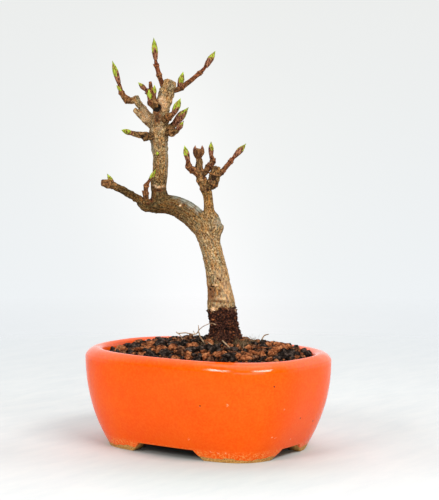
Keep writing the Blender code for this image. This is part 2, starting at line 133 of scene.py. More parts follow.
# Grit between the coarse grains: count, smallest, largest, how close it crowds, how far it stands out
FINE_GRIT = ((600, 0.8, 1.6, 0.72, 0.15), (1200, 0.3, 0.7, 0.55, 0.2))
FINE_SHARES = (0.45, 0.28, 0.27)
TOP_CRUMBS = 140               # crumbs that lie on the coarse grains
TOP_SHARES = (0.3, 0.3, 0.4)

# Where the grit shows black, and where rust: across, away, radius of the lump there
BLACK_SPOTS = ((-40.2, 10.5, 2.4), (-26.3, -1.8, 2.0), (-18.4, -6.8, 1.7), (-11.1, -12.2, 2.6), (-3.4, -9.7, 2.2),
               (-7.8, -24.5, 3.0), (3.8, -28.1, 3.1), (10.6, -38.1, 2.8), (24.1, -15.1, 2.4), (28.3, -11.7, 2.2),
               (44.7, -23.2, 2.2), (-30.2, -20.7, 2.2), (-20.4, -24.8, 2.0), (12.8, -30.1, 2.4),
               (30.9, -26.0, 2.2), (38.0, 2.0, 2.2), (46.0, -6.0, 2.0))
RUST_SPOTS = ((-7.9, -18.1, 2.8), (-0.1, -36.8, 2.6), (34.7, -28.3, 2.6), (-31.1, -16.9, 2.2), (-45.0, 7.0, 2.2),
              (5.8, -35.0, 2.0), (20.2, -39.2, 2.4), (-23.8, -15.3, 2.1), (-29.2, -7.4, 2.0), (27.7, -34.7, 2.3),
              (36.0, -8.0, 2.6), (41.0, -16.0, 2.4))
SPOT_REACH = 3.0               # coarse grains this near take the spot's colour

# The fine dry roots that stand out of the soil: across, away, up, thickness
ROOTS = (
    ((-15.6, -12.0, 60.9, 0.45), (-14.4, -12.0, 60.1, 0.6), (-10.9, -11.0, 60.3, 0.6), (-6.3, -10.0, 59.4, 0.6),
     (-4.2, -10.0, 61.1, 0.6), (-4.3, -10.0, 64.1, 0.3)),
    ((-4.2, -10.0, 61.4, 0.45), (-1.9, -11.0, 63.5, 0.4), (0.7, -12.5, 64.9, 0.4), (2.7, -13.8, 65.5, 0.45),
     (4.8, -14.4, 64.7, 0.5)),
    ((-4.2, -10.0, 60.8, 0.6), (-3.2, -11.0, 58.1, 0.7), (-1.2, -14.0, 55.4, 0.7)),
    ((-6.2, -10.0, 59.4, 0.5), (-6.9, -10.0, 61.2, 0.3)),
    ((-15.0, -12.0, 60.5, 0.4), (-13.2, -12.5, 58.8, 0.4), (-12.4, -12.8, 57.0, 0.4)),
    ((28.0, -8.0, 56.0, 0.7), (29.6, -8.0, 58.5, 0.7), (31.9, -8.0, 59.2, 0.4)),
    ((8.0, -24.0, 58.0, 0.7), (9.8, -26.0, 56.4, 0.7), (12.3, -28.0, 54.4, 0.5)),
    ((0.2, -22.0, 57.2, 0.5), (2.8, -24.0, 55.6, 0.5)),
)

# Patches of dead moss: across, away, how wide, how many fibres; and how the fibres run
MOSS = ((18.5, -15.5, 5.0, 120), (24.0, -10.0, 4.0, 40), (18.0, -24.0, 4.0, 36), (-1.0, -14.0, 3.5, 26),
        (4.0, -17.0, 3.0, 20), (10.0, 6.0, 5.0, 50))
FIBRE_SEED = 8
FIBRE_BEND = 0.55
FIBRE_SAG = 0.06

# Tones of grit, soil, bud scales and dry fibre, from dark to light
LAVA_TONES = {
    "grit_black": ((0.004, 0.003, 0.002), (0.015, 0.010, 0.008), (0.11, 0.08, 0.065)),
    "grit_rust": ((0.035, 0.010, 0.004), (0.24, 0.072, 0.026), (0.54, 0.22, 0.09)),
    "grit_brown": ((0.012, 0.005, 0.003), (0.075, 0.028, 0.014), (0.30, 0.14, 0.07)),
    "crumb_dark": ((0.008, 0.005, 0.004), (0.045, 0.019, 0.013), (0.16, 0.07, 0.045)),
    "crumb_rust": ((0.03, 0.01, 0.006), (0.17, 0.05, 0.02), (0.46, 0.17, 0.06)),
    "soil_fines": ((0.006, 0.003, 0.002), (0.022, 0.010, 0.007), (0.09, 0.038, 0.02)),
}
BUD_TONES = {
    "bud_green": ((0.13, 0.09, 0.015), (0.25, 0.31, 0.02), (0.40, 0.52, 0.05)),
    "scale_brown": ((0.04, 0.012, 0.007), (0.14, 0.045, 0.022), (0.34, 0.15, 0.075)),
    "edge_brown": ((0.09, 0.025, 0.01), (0.24, 0.085, 0.03), (0.42, 0.24, 0.07)),
}
FIBRE_TONES = {
    "dry_root": ((0.20, 0.11, 0.055), (0.48, 0.33, 0.2)),
    "dead_moss": ((0.05, 0.032, 0.014), (0.19, 0.125, 0.06)),
}

# How fine the skins are
LIMB_SIDES = 28
TWIG_SIDES = 16
BUD_SIDES = 10
TIP_SIDES = 8
ROOT_SIDES = 7
FIBRE_SIDES = 5
LIMB_STEPS = 6                 # a curve's steps from one station to the next
BALL_STEPS = 4
ROOT_STEPS = 5
FIBRE_STEPS = 5
BARK_VOXEL = 0.34
TWIG_VOXEL = 0.2
BARK_EASING = 22               # passes that ease a skin where its limbs meet
TWIG_EASING = 10
BARK_SHIFT = 37.0              # each limb takes its pattern this far from the last one's
TWIG_SHIFT = 23.0

# The soil on the bark, the twigs and the buds
SOIL_LINE = 71.6               # soil stains the trunk up to here on its left
SOIL_LINE_RISE = 1.9           # and this much higher on its right
CRUMBS_FROM = 56.0             # crumbs of soil stick to the stained bark from this height up
CRUMB_COUNT = 900
CRUMB_SEED = 41
NODE_SWELLING = 1.22
YOUNG_GIRTH = 0.76             # the youngest shoots have this share of the thickness given below
BUD_PLUMP = 1.14
BUD_SEED = 11
SIDE_BUD_SEED = 23
SCALE_WIDEST = 0.3             # a bud scale is widest at this share of its length
BUD_SHAPE =((0.0, 0.55), (0.16, 0.74), (0.36, 0.95), (0.52, 1.0), (0.73, 0.72), (0.9, 0.3), (1.0, 0.04))
SPUR_SEED = 5
SPUR_WAVER = 0.5

# Stations of the limbs: across, away, up, thickness
TRUNK = ((9.0, -6.0, 49.0, 19.5), (9.0, -6.0, 57.0, 17.8), (8.7, -6.0, 61.0, 15.2), (7.4, -6.0, 74.0, 14.3),
         (6.4, -6.0, 83.0, 12.5), (4.2, -5.6, 95.5, 10.8), (1.2, -4.6, 107.0, 10.9), (-1.6, -3.6, 113.7, 11.5))
OLD_CUT = ((0.6, -4.6, 109.5, 8.0), (3.8, -5.2, 113.2, 9.2), (5.5, -5.6, 116.4, 7.4))
CUT_SHOULDER = ((0.8, -4.6, 121.2, 7.2), (3.3, -5.0, 116.6, 8.2), (3.1, -5.0, 111.0, 8.4),
                (2.4, -5.0, 106.0, 9.4))
ARCHING_BOUGH = ((-0.6, -3.9, 112.4, 11.0), (-5.2, -2.8, 117.4, 11.6), (-9.3, -1.5, 121.0, 11.3),
                 (-15.0, 0.0, 124.2, 10.5), (-20.0, 1.0, 125.5, 10.0), (-24.4, 1.4, 125.6, 9.3),
                 (-28.6, 1.2, 124.8, 7.8))
LEADER = ((-23.8, 1.6, 126.0, 8.4), (-24.5, 1.9, 130.5, 8.6), (-24.9, 2.0, 134.0, 8.0), (-23.8, 0.8, 148.5, 8.0),
          (-24.7, 0.0, 163.5, 9.4), (-22.7, 0.0, 176.0, 7.9), (-20.4, 0.9, 183.8, 7.7), (-18.4, 1.9, 189.2, 6.2))
FRONT_STUB = ((-24.6, -1.5, 165.5, 5.4), (-25.2, -5.0, 171.0, 4.5), (-25.2, -7.4, 174.4, 4.2))
CROWN_LEFT_BOUGH = ((-25.4, 1.2, 164.8, 6.0), (-29.6, 3.0, 169.1, 5.9), (-32.6, 4.4, 174.4, 4.1),
                    (-35.9, 5.8, 178.3, 3.9), (-37.2, 6.6, 181.2, 4.2))
OLD_SPUR = ((-29.0, 1.8, 166.4, 3.6), (-34.2, 2.4, 171.2, 3.4), (-37.6, 3.2, 174.6, 2.6))
LEFT_BOUGH = ((-27.2, 1.3, 124.6, 7.2), (-31.4, 0.5, 124.9, 6.4), (-35.2, -1.2, 128.3, 4.5),
              (-41.0, -4.4, 131.8, 4.1), (-47.0, -8.0, 135.2, 3.7))
RIGHT_BOUGH = ((0.4, -4.2, 112.0, 9.0), (1.4, -4.4, 118.0, 6.9), (1.1, -4.8, 123.5, 5.5),
               (0.6, -5.4, 129.5, 4.9), (-0.1, -5.8, 132.6, 5.6))

# Little stumps of spurs that were pruned off: across, away, up, thickness
STUMPS = (
    ((-29.6, -1.0, 125.6, 3.0), (-30.2, -3.4, 127.4, 2.4)),
    ((-27.6, -2.0, 175.6, 2.2), (-30.0, -3.8, 177.2, 1.7)),
    ((-22.8, -2.6, 156.2, 2.6), (-22.1, -4.4, 156.9, 2.2)),
    ((-24.2, -2.8, 151.6, 2.0), (-24.6, -4.3, 152.2, 1.4)),
    ((11.6, -8.6, 71.4, 3.0), (15.0, -9.6, 71.5, 1.8)),
)

Section = namedtuple("Section", "centre radius way side along")
Twig = namedtuple("Twig", "root end age points")
Bud = namedtuple("Bud", "foot tip width brown")
Mark = namedtuple("Mark", "across up wide high lift pale dark grey")

# Twigs: thickness at the root and at the end, how barky they are, and their nodes
TWIGS = (
    Twig(2.7, 1.9, (0.5, 0.0), ((-22.0, 0.4, 184.2), (-24.4, 0.0, 192.0), (-25.7, 0.3, 196.6),
                                (-26.3, 0.0, 200.4))),
    Twig(2.8, 2.0, (0.6, 0.0), ((-18.6, 1.8, 183.6), (-13.0, 4.5, 185.8), (-3.9, 11.0, 193.3),
                                (-0.3, 13.4, 197.2))),
    Twig(3.6, 2.2, (0.9, 0.1), ((-36.4, 6.2, 179.3), (-41.2, 8.0, 179.5), (-44.3, 9.8, 183.2),
                                (-45.9, 11.4, 188.9))),
    Twig(3.8, 3.0, (1.0, 0.8), ((-25.2, 0.0, 173.0), (-27.2, -2.8, 177.6), (-27.0, -3.6, 181.4))),
    Twig(2.4, 2.1, (0.7, 0.1), ((-27.0, -3.6, 180.6), (-29.4, -5.0, 182.5), (-31.2, -5.7, 184.4))),
    Twig(2.5, 2.0, (0.7, 0.2), ((-27.1, -3.5, 180.4), (-28.4, -3.2, 184.0), (-28.9, -3.0, 188.6))),
    Twig(2.6, 2.1, (0.8, 0.5), ((-27.2, -3.0, 176.6), (-28.8, -6.0, 177.6), (-29.2, -7.0, 179.0))),
    Twig(3.6, 2.6, (0.8, 0.5), ((-23.4, -1.8, 168.2), (-19.4, -5.4, 170.3), (-16.6, -7.0, 172.4))),
    Twig(3.7, 3.1, (1.4, 1.0), ((-22.6, -0.2, 161.6), (-19.0, -1.2, 164.3), (-16.6, -2.2, 167.2))),
    Twig(3.2, 2.6, (1.4, 1.0), ((-21.4, -1.4, 161.8), (-17.7, -5.0, 162.5), (-14.6, -7.4, 164.1))),
    Twig(3.6, 2.7, (1.7, 0.8), ((-26.4, -1.8, 160.1), (-31.4, -4.8, 160.8), (-38.0, -9.5, 162.2))),
    Twig(2.9, 1.9, (0.9, 0.2), ((-31.2, 0.2, 125.6), (-31.4, -2.6, 131.2), (-31.0, -4.0, 135.2),
                                (-29.3, -5.5, 138.2))),
    Twig(3.4, 3.8, (1.0, 0.6), ((-46.0, -7.4, 134.6), (-50.2, -9.9, 136.4), (-53.2, -11.5, 137.0))),
    Twig(5.0, 3.1, (1.0, 0.8), ((-0.1, -5.8, 132.2), (-0.6, -6.3, 134.5), (-2.6, -7.6, 138.6),
                                (-3.7, -8.2, 143.0), (-3.9, -8.2, 150.4))),
    Twig(3.4, 2.6, (0.8, 0.2), ((-3.2, -8.0, 140.4), (-7.0, -10.5, 143.4), (-9.0, -11.8, 145.4),
                                (-9.5, -12.4, 148.9))),
    Twig(3.2, 2.4, (0.8, 0.3), ((-2.4, -7.4, 140.2), (1.2, -3.2, 144.8), (2.9, -1.2, 147.6), (2.1, -0.4, 151.0))),
    Twig(4.4, 3.9, (1.5, 0.9), ((-0.4, -6.0, 133.8), (2.8, -6.8, 136.8), (4.2, -7.2, 141.2), (4.9, -7.4, 145.3))),
    Twig(2.8, 2.1, (0.7, 0.0), ((4.6, -6.8, 139.8), (7.5, -4.2, 142.2), (12.1, -1.0, 147.5), (14.4, 0.6, 150.4))),
)
BALL = ((-3.9, -8.2, 149.6, 3.1), (-4.1, -8.2, 151.6, 5.4), (-4.1, -8.2, 153.3, 5.6), (-4.1, -8.2, 154.3, 3.8))

# Buds: foot, tip, width, and how much of the length the brown scales cover
BUDS = (
    Bud((-26.2, 0.1, 199.8), (-27.1, -1.0, 211.0), 2.9, 0.3),
    Bud((-0.6, 13.2, 196.8), (4.4, 17.0, 205.2), 3.1, 0.42),
    Bud((-14.2, 3.9, 185.9), (-12.1, 2.0, 193.8), 3.0, 0.3),
    Bud((-45.8, 11.3, 188.4), (-49.4, 14.5, 200.0), 3.0, 0.26),
    Bud((-43.9, 9.5, 183.2), (-46.9, 8.6, 187.0), 1.7, 0.2),
    Bud((-30.8, -5.6, 184.0), (-34.9, -7.0, 188.0), 2.4, 0.5),
    Bud((-26.9, -3.8, 180.8), (-26.6, -4.4, 186.8), 2.3, 0.3),
    Bud((-29.1, -6.9, 178.6), (-29.3, -8.0, 184.6), 2.4, 0.16),
    Bud((-16.9, -6.9, 172.0), (-13.2, -9.0, 179.9), 3.4, 0.26),
    Bud((-17.1, -2.0, 166.5), (-9.2, -5.0, 175.4), 3.9, 0.55),
    Bud((-15.0, -7.1, 163.8), (-11.9, -9.5, 168.0), 2.6, 0.7),
    Bud((-37.5, -9.2, 162.0), (-43.2, -13.0, 163.8), 2.8, 0.26),
    Bud((-29.5, -5.3, 137.8), (-25.9, -7.8, 143.8), 2.0, 0.2),
    Bud((-47.4, -8.2, 135.4), (-50.7, -9.0, 141.6), 2.5, 0.25),
    Bud((-24.9, -4.2, 150.9), (-25.5, -5.6, 152.8), 1.7, 0.1),
    Bud((-9.4, -12.3, 148.3), (-11.2, -13.5, 156.0), 2.9, 0.34),
    Bud((2.2, -0.5, 150.5), (2.2, 0.4, 158.0), 2.7, 0.34),
    Bud((14.0, 0.4, 149.9), (20.3, 3.6, 156.9), 2.9, 0.5),
)
BALL_SCALES = (((-6.2, -8.2, 151.2), (-5.8, -8.2, 156.1)), ((-2.0, -8.2, 151.2), (-2.3, -8.2, 156.1)))

# Marks on the bark's front: where, how wide and high, how far it stands out, and its tones
MARKS = (
    Mark(2.0, 80.2, 3.1, 5.0, -0.6, 0.0, 0.74, 0.0),     # a hollow scar on the trunk's left
    Mark(1.2, 82.4, 0.9, 1.4, -0.2, 0.0, 1.0, 0.0),      # its dark cores
    Mark(2.6, 79.0, 0.9, 1.1, -0.2, 0.0, 0.9, 0.0),
    Mark(3.6, 82.2, 0.6, 1.6, -0.2, 0.0, 0.95, 0.0),
    Mark(10.4, 82.0, 4.2, 6.0, 0.0, 0.27, 0.0, 0.0),     # paler bark on the trunk's front
    Mark(6.4, 90.5, 3.6, 4.0, 0.0, 0.18, 0.0, 0.0),
    Mark(-31.4, 171.4, 3.2, 5.0, 0.0, 0.42, 0.0, 0.0),   # and on the crown's left bough
    Mark(-34.0, 172.6, 1.6, 1.6, 0.3, 0.2, 0.0, 0.0),
    Mark(-31.6, 166.8, 1.0, 1.0, -0.3, 0.0, 0.7, 0.0),   # with two dark pits
    Mark(-33.6, 176.6, 1.0, 0.8, -0.3, 0.0, 0.6, 0.0),
    Mark(4.9, 81.2, 0.7, 3.2, 0.4, 0.0, 0.0, 0.0),       # the scar's rolled edge
    Mark(0.1, 64.8, 2.6, 5.0, -1.7, 0.0, 0.0, 0.0),      # the collar steps in on the left
    Mark(4.6, 84.8, 1.9, 0.5, 0.25, 0.95, 0.0, 0.0),     # a pale nick above the scar, and a dark one
    Mark(2.4, 84.0, 1.9, 0.5, -0.3, 0.0, 1.3, 0.0),
    Mark(11.2, 72.5, 0.7, 0.7, 0.3, 0.8, 0.0, 0.0),      # pale specks at the collar's right
    Mark(14.8, 71.5, 0.9, 0.9, 0.0, 0.7, 0.0, 0.0),
    Mark(-30.1, 126.2, 1.0, 1.0, 0.2, 0.0, 0.9, 0.0),    # a black knob on the left bough
    Mark(6.6, 87.6, 1.2, 0.9, -0.15, 0.0, 0.95, 0.0),    # a dark fleck above the scar
    Mark(6.0, 78.0, 3.0, 1.1, 0.45, 0.5, 0.0, 0.0),      # the callus above the collar, and its dark folds
    Mark(9.8, 77.2, 3.0, 1.4, 0.35, 0.2, 0.0, 0.0),
    Mark(2.0, 76.8, 1.6, 1.2, 0.3, 0.0, 0.4, 0.0),
    Mark(5.2, 76.4, 4.4, 0.5, -0.4, 0.0, 0.85, 0.0),
    Mark(5.8, 74.6, 2.8, 0.9, 0.35, 0.35, 0.0, 0.0),
    Mark(2.4, 74.8, 1.6, 0.9, 0.0, 0.0, 0.45, 0.0),
    Mark(8.8, 75.0, 3.4, 0.8, 0.35, 0.2, 0.0, 0.0),
    Mark(8.2, 73.4, 2.4, 0.6, -0.2, 0.0, 0.55, 0.0),
    Mark(3.45, 72.4, 1.25, 1.3, 1.0, 1.4, 0.0, 0.0),     # a pruned root's pale round end
    Mark(5.6, 88.3, 0.5, 0.8, -0.15, 0.0, 1.3, 0.0),     # smaller dark flecks above the scar and in it
    Mark(7.2, 87.2, 0.7, 0.6, -0.15, 0.0, 1.3, 0.0),
    Mark(6.3, 82.0, 0.7, 0.8, -0.1, 0.0, 1.0, 0.0),
    Mark(-26.6, 135.3, 1.2, 0.9, 0.5, 0.6, 0.0, 0.0),    # the ring at the leader's foot
    Mark(-24.6, 134.5, 2.0, 0.8, 0.6, 0.8, 0.0, 0.0),
    Mark(-22.3, 134.8, 1.1, 0.9, 0.5, 0.6, 0.0, 0.0),
    # painted shade in the groove under the ring
    Mark(-24.7, 132.9, 3.2, 0.8, -0.6, 0.0, 0.9, 0.0),
    Mark(-23.4, 179.4, 1.8, 2.4, 0.0, 0.75, 0.0, 0.0),   # pale flecks under the pruned top
    Mark(-25.5, 175.0, 3.0, 2.8, 0.0, 0.0, 1.8, 0.0),    # the front stub's rotten end and the bark below it, darkened: rot, and painted shade in the end's hollow and on the stub's body
    Mark(-25.2, 170.0, 2.4, 4.6, 0.0, 0.0, 0.85, 0.0),
    Mark(-28.0, 156.0, 0.9, 13.0, 0.0, 0.0, 0.0, 0.5),   # grey edges of the leader
    Mark(-20.8, 150.0, 0.8, 12.0, 0.0, 0.0, 0.0, 0.4),
    Mark(-24.2, 157.0, 1.2, 1.6, 0.2, 0.0, 0.5, 0.0),    # a red-brown spot
    Mark(-24.6, 164.6, 2.4, 1.4, 0.3, 0.4, 0.0, 0.0),    # pale scaly bark under the crown
    Mark(-21.8, 177.4, 2.0, 3.0, 0.3, 0.5, 0.0, 0.0),
    Mark(-22.0, 174.4, 1.3, 1.2, 0.2, 0.5, 0.0, 0.0),
    Mark(6.6, 116.6, 3.4, 3.6, 0.0, 0.0, 0.0, 0.5),      # the smooth grey knob of the old cut
    Mark(-15.6, 129.6, 2.6, 1.4, 0.0, 0.0, 0.0, 0.9),    # grey young bark on top of the arch, paler partly as a painted highlight where the top catches the light
    Mark(-11.6, 128.2, 3.2, 2.2, 0.0, 0.0, 0.0, 1.0),
    Mark(-7.6, 126.2, 3.2, 2.8, 0.0, 0.0, 0.0, 1.0),
    Mark(-4.0, 123.6, 2.6, 2.6, 0.0, 0.0, 0.0, 1.0),
    Mark(-13.6, 125.2, 0.7, 0.6, 0.2, 0.9, 0.0, 0.0),    # a pale speck and a dark one on the arch
    Mark(-12.2, 125.4, 0.5, 0.6, -0.2, 0.0, 0.9, 0.0),
    Mark(-28.6, 128.2, 1.3, 1.6, 0.0, 0.0, 0.9, 0.0),    # painted shade in the crotch at the leader's foot
)

# How much painted shade darkens the bark, and how warm the bark is, by place: across, up, shade, warmth; the shade
# is partly the bark's own darker tone
TONES = ((8.0, 76.0, 0.0, 0.3), (5.0, 88.0, 0.02, 0.15), (3.0, 98.0, 0.12, 0.15), (1.5, 106.0, 0.06, 0.1),
         (0.0, 113.0, 0.15, 0.25), (5.5, 114.0, 0.25, 0.2), (1.0, 127.0, 0.35, 0.9), (-7.0, 119.0, 0.6, 0.45),
         (-14.0, 122.0, 0.8, 0.4), (-22.0, 124.0, 0.88, 0.6), (-32.0, 126.0, 0.8, 0.5), (-25.0, 130.0, 0.85, 0.4),
         (-40.0, 131.0, 0.95, 0.4), (-47.0, 135.0, 0.85, 0.5),
         (-24.5, 141.0, 0.4, 0.5), (-24.0, 154.0, 0.18, 0.25), (-24.0, 166.0, 0.15, 0.15),
         (-21.0, 182.0, 0.15, 0.1))

# The camera stands as the photograph's did
VIEW_FROM = (0.827, 4.01, 35.1)     # distance in metres, degrees above the level, degrees round
VIEW_AT = (6.55, 102.0)             # across and up
LENS = 115.2
SENSOR = 36.0

# The floor, and the white surround as a light from in front and from behind
FLOOR_RADIUS = 3.0                  # in metres
FLOOR_SIDES = 96
SURROUND_FRONT = (0.08, 0.08, 0.08)
SURROUND_BACK = (1.0, 1.02, 1.04)
BACKDROP_TOP = 0.156                # the backdrop's tone changes from here, as slope above the line of sight
BACKDROP_FALL = 0.22                # over this much slope downwards
# Glows of the backdrop round the tree, as seen from the front: middle, reach, colour
GLOWS = (
    ((-0.009, -0.031), (0.028, 0.044), (0.083, 0.064, 0.064)),
    ((-0.003, -0.053), (0.05, 0.014), (0.08, 0.056, 0.042)),
    ((-0.037, 0.0625), (0.028, 0.044), (0.094, 0.08, 0.08)),
    ((-0.006, 0.031), (0.069, 0.069), (0.035, 0.028, 0.01)),
)

# Soft lights: degrees round from the front, degrees raised, distance, size, power, colour
LIGHTS = (
    ("left_softbox", -41.0, 29.0, 1.1, (0.34, 0.26), 4.8, (1.0, 0.985, 0.96)),
    ("right_softbox", 33.0, 42.0, 1.1, (0.66, 0.28), 8.6, (1.0, 0.985, 0.96)),
    ("front_fill", 4.0, 8.0, 1.3, (1.3, 0.5), 5.4, (1.0, 0.985, 0.96)),
    ("top_softbox", 20.0, 80.0, 0.95, (0.9, 0.9), 1.8, (1.0, 0.99, 0.98)),
)
LIGHT_AIM = 50.0                    # the height that the lights look at


def world(across, away, up):
    """Turns a point of the tree's own frame into the pot's frame."""
    c = math.cos(TREE_TURN)
    s = math.sin(TREE_TURN)
    return Vector((across * c - away * s, across * s + away * c, up))


def tree_view(points):
    """Turns many points or directions of the pot's frame into the tree's own frame."""
    c = math.cos(TREE_TURN)
    s = math.sin(TREE_TURN)
    return points @ np.array(((c, -s, 0.0), (s, c, 0.0), (0.0, 0.0, 1.0)))


def grainy(points, scale, seed=0.0):
    """Smooth noise from -1 to 1 at many points; scale is in waves per millimetre, by axis or for all."""
    spots = points * np.array(scale) + seed
    return np.array([noise.noise(spot) for spot in spots.tolist()])


def ramp(value, low, high):
    """Rises smoothly from 0 at low to 1 at high."""
    share = np.clip((value - low) / (high - low), 0.0, 1.0)
    return share * share * (3 - 2 * share)


class Nodes:
    """A tree of nodes; each method adds a node and gives back its output."""

    def __init__(self, owner):
        owner.use_nodes = True
        self.tree = owner.node_tree

    def give(self, socket, value):
        """Links an output to a socket, or sets the socket to a constant."""
        if isinstance(value, bpy.types.NodeSocket):
            self.tree.links.new(value, socket)
        else:
            socket.default_value = value

    def add(self, kind, inputs, **settings):
        node = self.tree.nodes.new("ShaderNode" + kind)
        for key, value in settings.items():
            setattr(node, key, value)
        for socket, value in inputs.items():
            self.give(node.inputs[socket], value)
        return node

    def place(self, stretch=(1.0, 1.0, 1.0)):
        """Object coordinates in millimetres, times a stretch."""
        spot = self.add("TexCoord", {}).outputs["Object"]
        return self.add("Mapping", {"Vector": spot, "Scale": [s / MM for s in stretch]}).outputs["Vector"]

    def stretch(self, spot, scale, shift=(0.0, 0.0, 0.0)):
        return self.add("Mapping", {"Vector": spot, "Scale": scale, "Location": shift}).outputs["Vector"]

    def along(self, spot, way):
        """How far a point lies along a direction."""
        return self.add("VectorMath", {0: spot, 1: way}, operation="DOT_PRODUCT").outputs["Value"]

    def spots(self, spot, places, radius):
        """1 within a radius of any of a few placed points, fading out over half as much again."""
        near = 1000.0
        for place in places:
            far = self.add("VectorMath", {0: spot, 1: place}, operation="DISTANCE").outputs["Value"]
            near = self.sum("MINIMUM", near, far)
        return self.ramp(self.sum("DIVIDE", near, radius * 2), (0.35, 1.0), (0.6, 0.0))

    def glow(self, u, v, middle, reach):
        """A round soft glow: 1 in its middle, fading with distance."""
        far = 0.0
        for value, centre, size in zip((u, v), middle, reach):
            off = self.sum("DIVIDE", self.sum("SUBTRACT", value, centre), size)
            far = self.sum("ADD", far, self.sum("MULTIPLY", off, off))
        return self.sum("POWER", math.exp(-0.5), far)

    def attribute(self, name, output="Fac"):
        return self.add("Attribute", {}, attribute_name=name).outputs[output]

    def tones(self, name):
        """The three parts of a colour attribute."""
        return self.add("SeparateColor", {"Color": self.attribute(name, "Color")}).outputs

    def noise(self, spot, scale, detail=3.0, roughness=0.55, distortion=0.0):
        return self.add("TexNoise", {"Vector": spot, "Scale": scale, "Detail": detail, "Roughness": roughness,
                                     "Distortion": distortion}).outputs["Fac"]

    def cells(self, spot, scale, output="Distance"):
        return self.add("TexVoronoi", {"Vector": spot, "Scale": scale}, feature="F1").outputs[output]

    def ramp(self, value, *stops):
        """A colour ramp; each stop is a place and a colour or a grey."""
        node = self.add("ValToRGB", {"Fac": value})
        band = node.color_ramp.elements
        while len(band) < len(stops):
            band.new(1.0)
        for element, (place, colour) in zip(band, stops):
            element.position = place
            element.color = (*colour, 1.0) if isinstance(colour, tuple) else (colour, colour, colour, 1.0)
        return node.outputs["Color"]

    def mix(self, share, first, second, blend="MIX"):
        node = self.add("Mix", {}, data_type="RGBA", blend_type=blend)
        for index, value in ((0, share), (6, first), (7, second)):
            self.give(node.inputs[index], (*value, 1.0) if isinstance(value, tuple) else value)
        return node.outputs[2]

    def sum(self, operation, first, second):
        return self.add("Math", {0: first, 1: second}, operation=operation).outputs[0]

    def bump(self, height, distance, under=None):
        """Bumps this many millimetres high, on top of the bumps under them."""
        inputs = {"Height": height, "Distance": distance * MM, "Strength": 1.0}
        if under is not None:
            inputs["Normal"] = under
        return self.add("Bump", inputs).outputs["Normal"]


class Finish(Nodes):
    """One material with the Principled shader."""

    def __init__(self, name, roughness, specular):
        self.material = bpy.data.materials.new(name)
        super().__init__(self.material)
        self.shader = self.tree.nodes["Principled BSDF"]
        self.shader.inputs["Roughness"].default_value = roughness
        self.shader.inputs["Specular IOR Level"].default_value = specular

    def done(self, **inputs):
        """Feeds the shader, by socket names with underscores for blanks, and gives back the material."""
        for name, value in inputs.items():
            self.give(self.shader.inputs[name.replace("_", " ")], value)
        return self.material


def glaze_finish(name, specular):
    """Glossy orange glaze: mottled, with pinholes and pale chips, ending raggedly above bare ochre clay, which
    painted shade darkens under the pot.
    """
    f = Finish(name, 0.12, specular)
    spot = f.place()
    cloud = f.noise(spot, 0.05, 3.0, 0.6)
    speck = f.noise(spot, 0.8, 4.0, 0.7)
    colour = f.ramp(cloud, (0.3, (0.90, 0.082, 0.0)), (0.55, (0.91, 0.094, 0.0)),
                    (0.75, (0.92, 0.112, 0.002)))
    colour = f.mix(f.ramp(speck, (0.46, 0.0), (0.62, 0.5)), colour, (0.94, 0.145, 0.008))
    colour = f.mix(f.ramp(speck, (0.36, 0.4), (0.46, 0.0)), colour, (0.88, 0.066, 0.0))

    hole = f.ramp(f.cells(spot, 0.045), (0.012, 1.0), (0.02, 0.0))
    hole = f.sum("MAXIMUM", f.spots(spot, PINHOLES, PINHOLE_RADIUS), hole)
    colour = f.mix(hole, colour, (0.10, 0.018, 0.006))
    rag = f.add("TexNoise", {"Vector": spot, "Scale": 1.4}).outputs["Color"]
    rag = f.add("VectorMath", {0: rag, 1: (0.5, 0.5, 0.5)}, operation="SUBTRACT").outputs["Vector"]
    rag = f.add("VectorMath", {0: rag, 3: 2.4}, operation="SCALE").outputs["Vector"]
    near = f.add("VectorMath", {0: spot, 1: rag}, operation="ADD").outputs["Vector"]
    chip = f.sum("MULTIPLY", f.spots(near, CHIPS, CHIP_RADIUS), f.ramp(speck, (0.44, 0.2), (0.52, 1.0)))
    colour = f.mix(chip, colour, (0.95, 0.47, 0.22))

    up = f.add("SeparateXYZ", {"Vector": spot}).outputs["Z"]
    edge = f.sum("MULTIPLY", f.noise(spot, 0.09, 2.0), 5.2)
    edge = f.sum("ADD", edge, f.sum("MULTIPLY", f.noise(spot, 0.8, 3.0), 1.6))
    right =f.ramp(f.sum("DIVIDE", f.along(spot, tuple(world(1.0, 0.0, 0.0))), 80.0), (0.45, 0.0), (0.7, 2.2))
    edge = f.sum("ADD", edge, right)
    line = f.sum("SUBTRACT", f.sum("SUBTRACT", edge, 0.95), up)
    inside = f.sum("MULTIPLY", f.attribute("inward"), 9.0)
    bare = f.ramp(f.sum("ADD", line, inside), (0.42, 0.0), (0.58, 1.0))
    worn = f.ramp(f.noise(spot, 1.1, 5.0, 0.7), (0.50, 0.0), (0.58, 1.0))
    low = f.ramp(f.sum("DIVIDE", up, 10.0), (0.42, 1.0), (0.66, 0.0))
    worn = f.sum("MULTIPLY", f.sum("MULTIPLY", worn, low), 0.8)
    colour = f.mix(worn, colour, (0.94, 0.36, 0.08))
    clay = f.ramp(f.noise(spot, 1.6, 5.0, 0.7), (0.34, (0.12, 0.05, 0.012)), (0.46, (0.50, 0.24, 0.06)),
                  (0.6, (0.74, 0.42, 0.13)))
    # Painted shade: the bare clay darkens inward under the pot
    clay = f.mix(f.ramp(f.attribute("inward"), (0.3, 0.0), (0.9, 0.85)), clay, (0.05, 0.024, 0.010))
    colour = f.mix(bare, colour, clay)
    rough = f.ramp(bare, (0.0, 0.12), (1.0, 0.85))
    wave = f.noise(spot, 0.12, 2.0, 0.5)
    peel = f.noise(spot, 0.9, 2.0, 0.5)
    grit = f.sum("MULTIPLY", f.noise(spot, 2.5, 4.0, 0.7), bare)
    soft = f.bump(wave, 0.25)
    soft = f.bump(peel, 0.04, soft)
    soft = f.bump(f.sum("SUBTRACT", f.sum("MULTIPLY", grit, 0.5), f.sum("ADD", bare, hole)), 0.3, soft)
    return f.done(Base_Color=colour, Roughness=rough, Normal=soft)


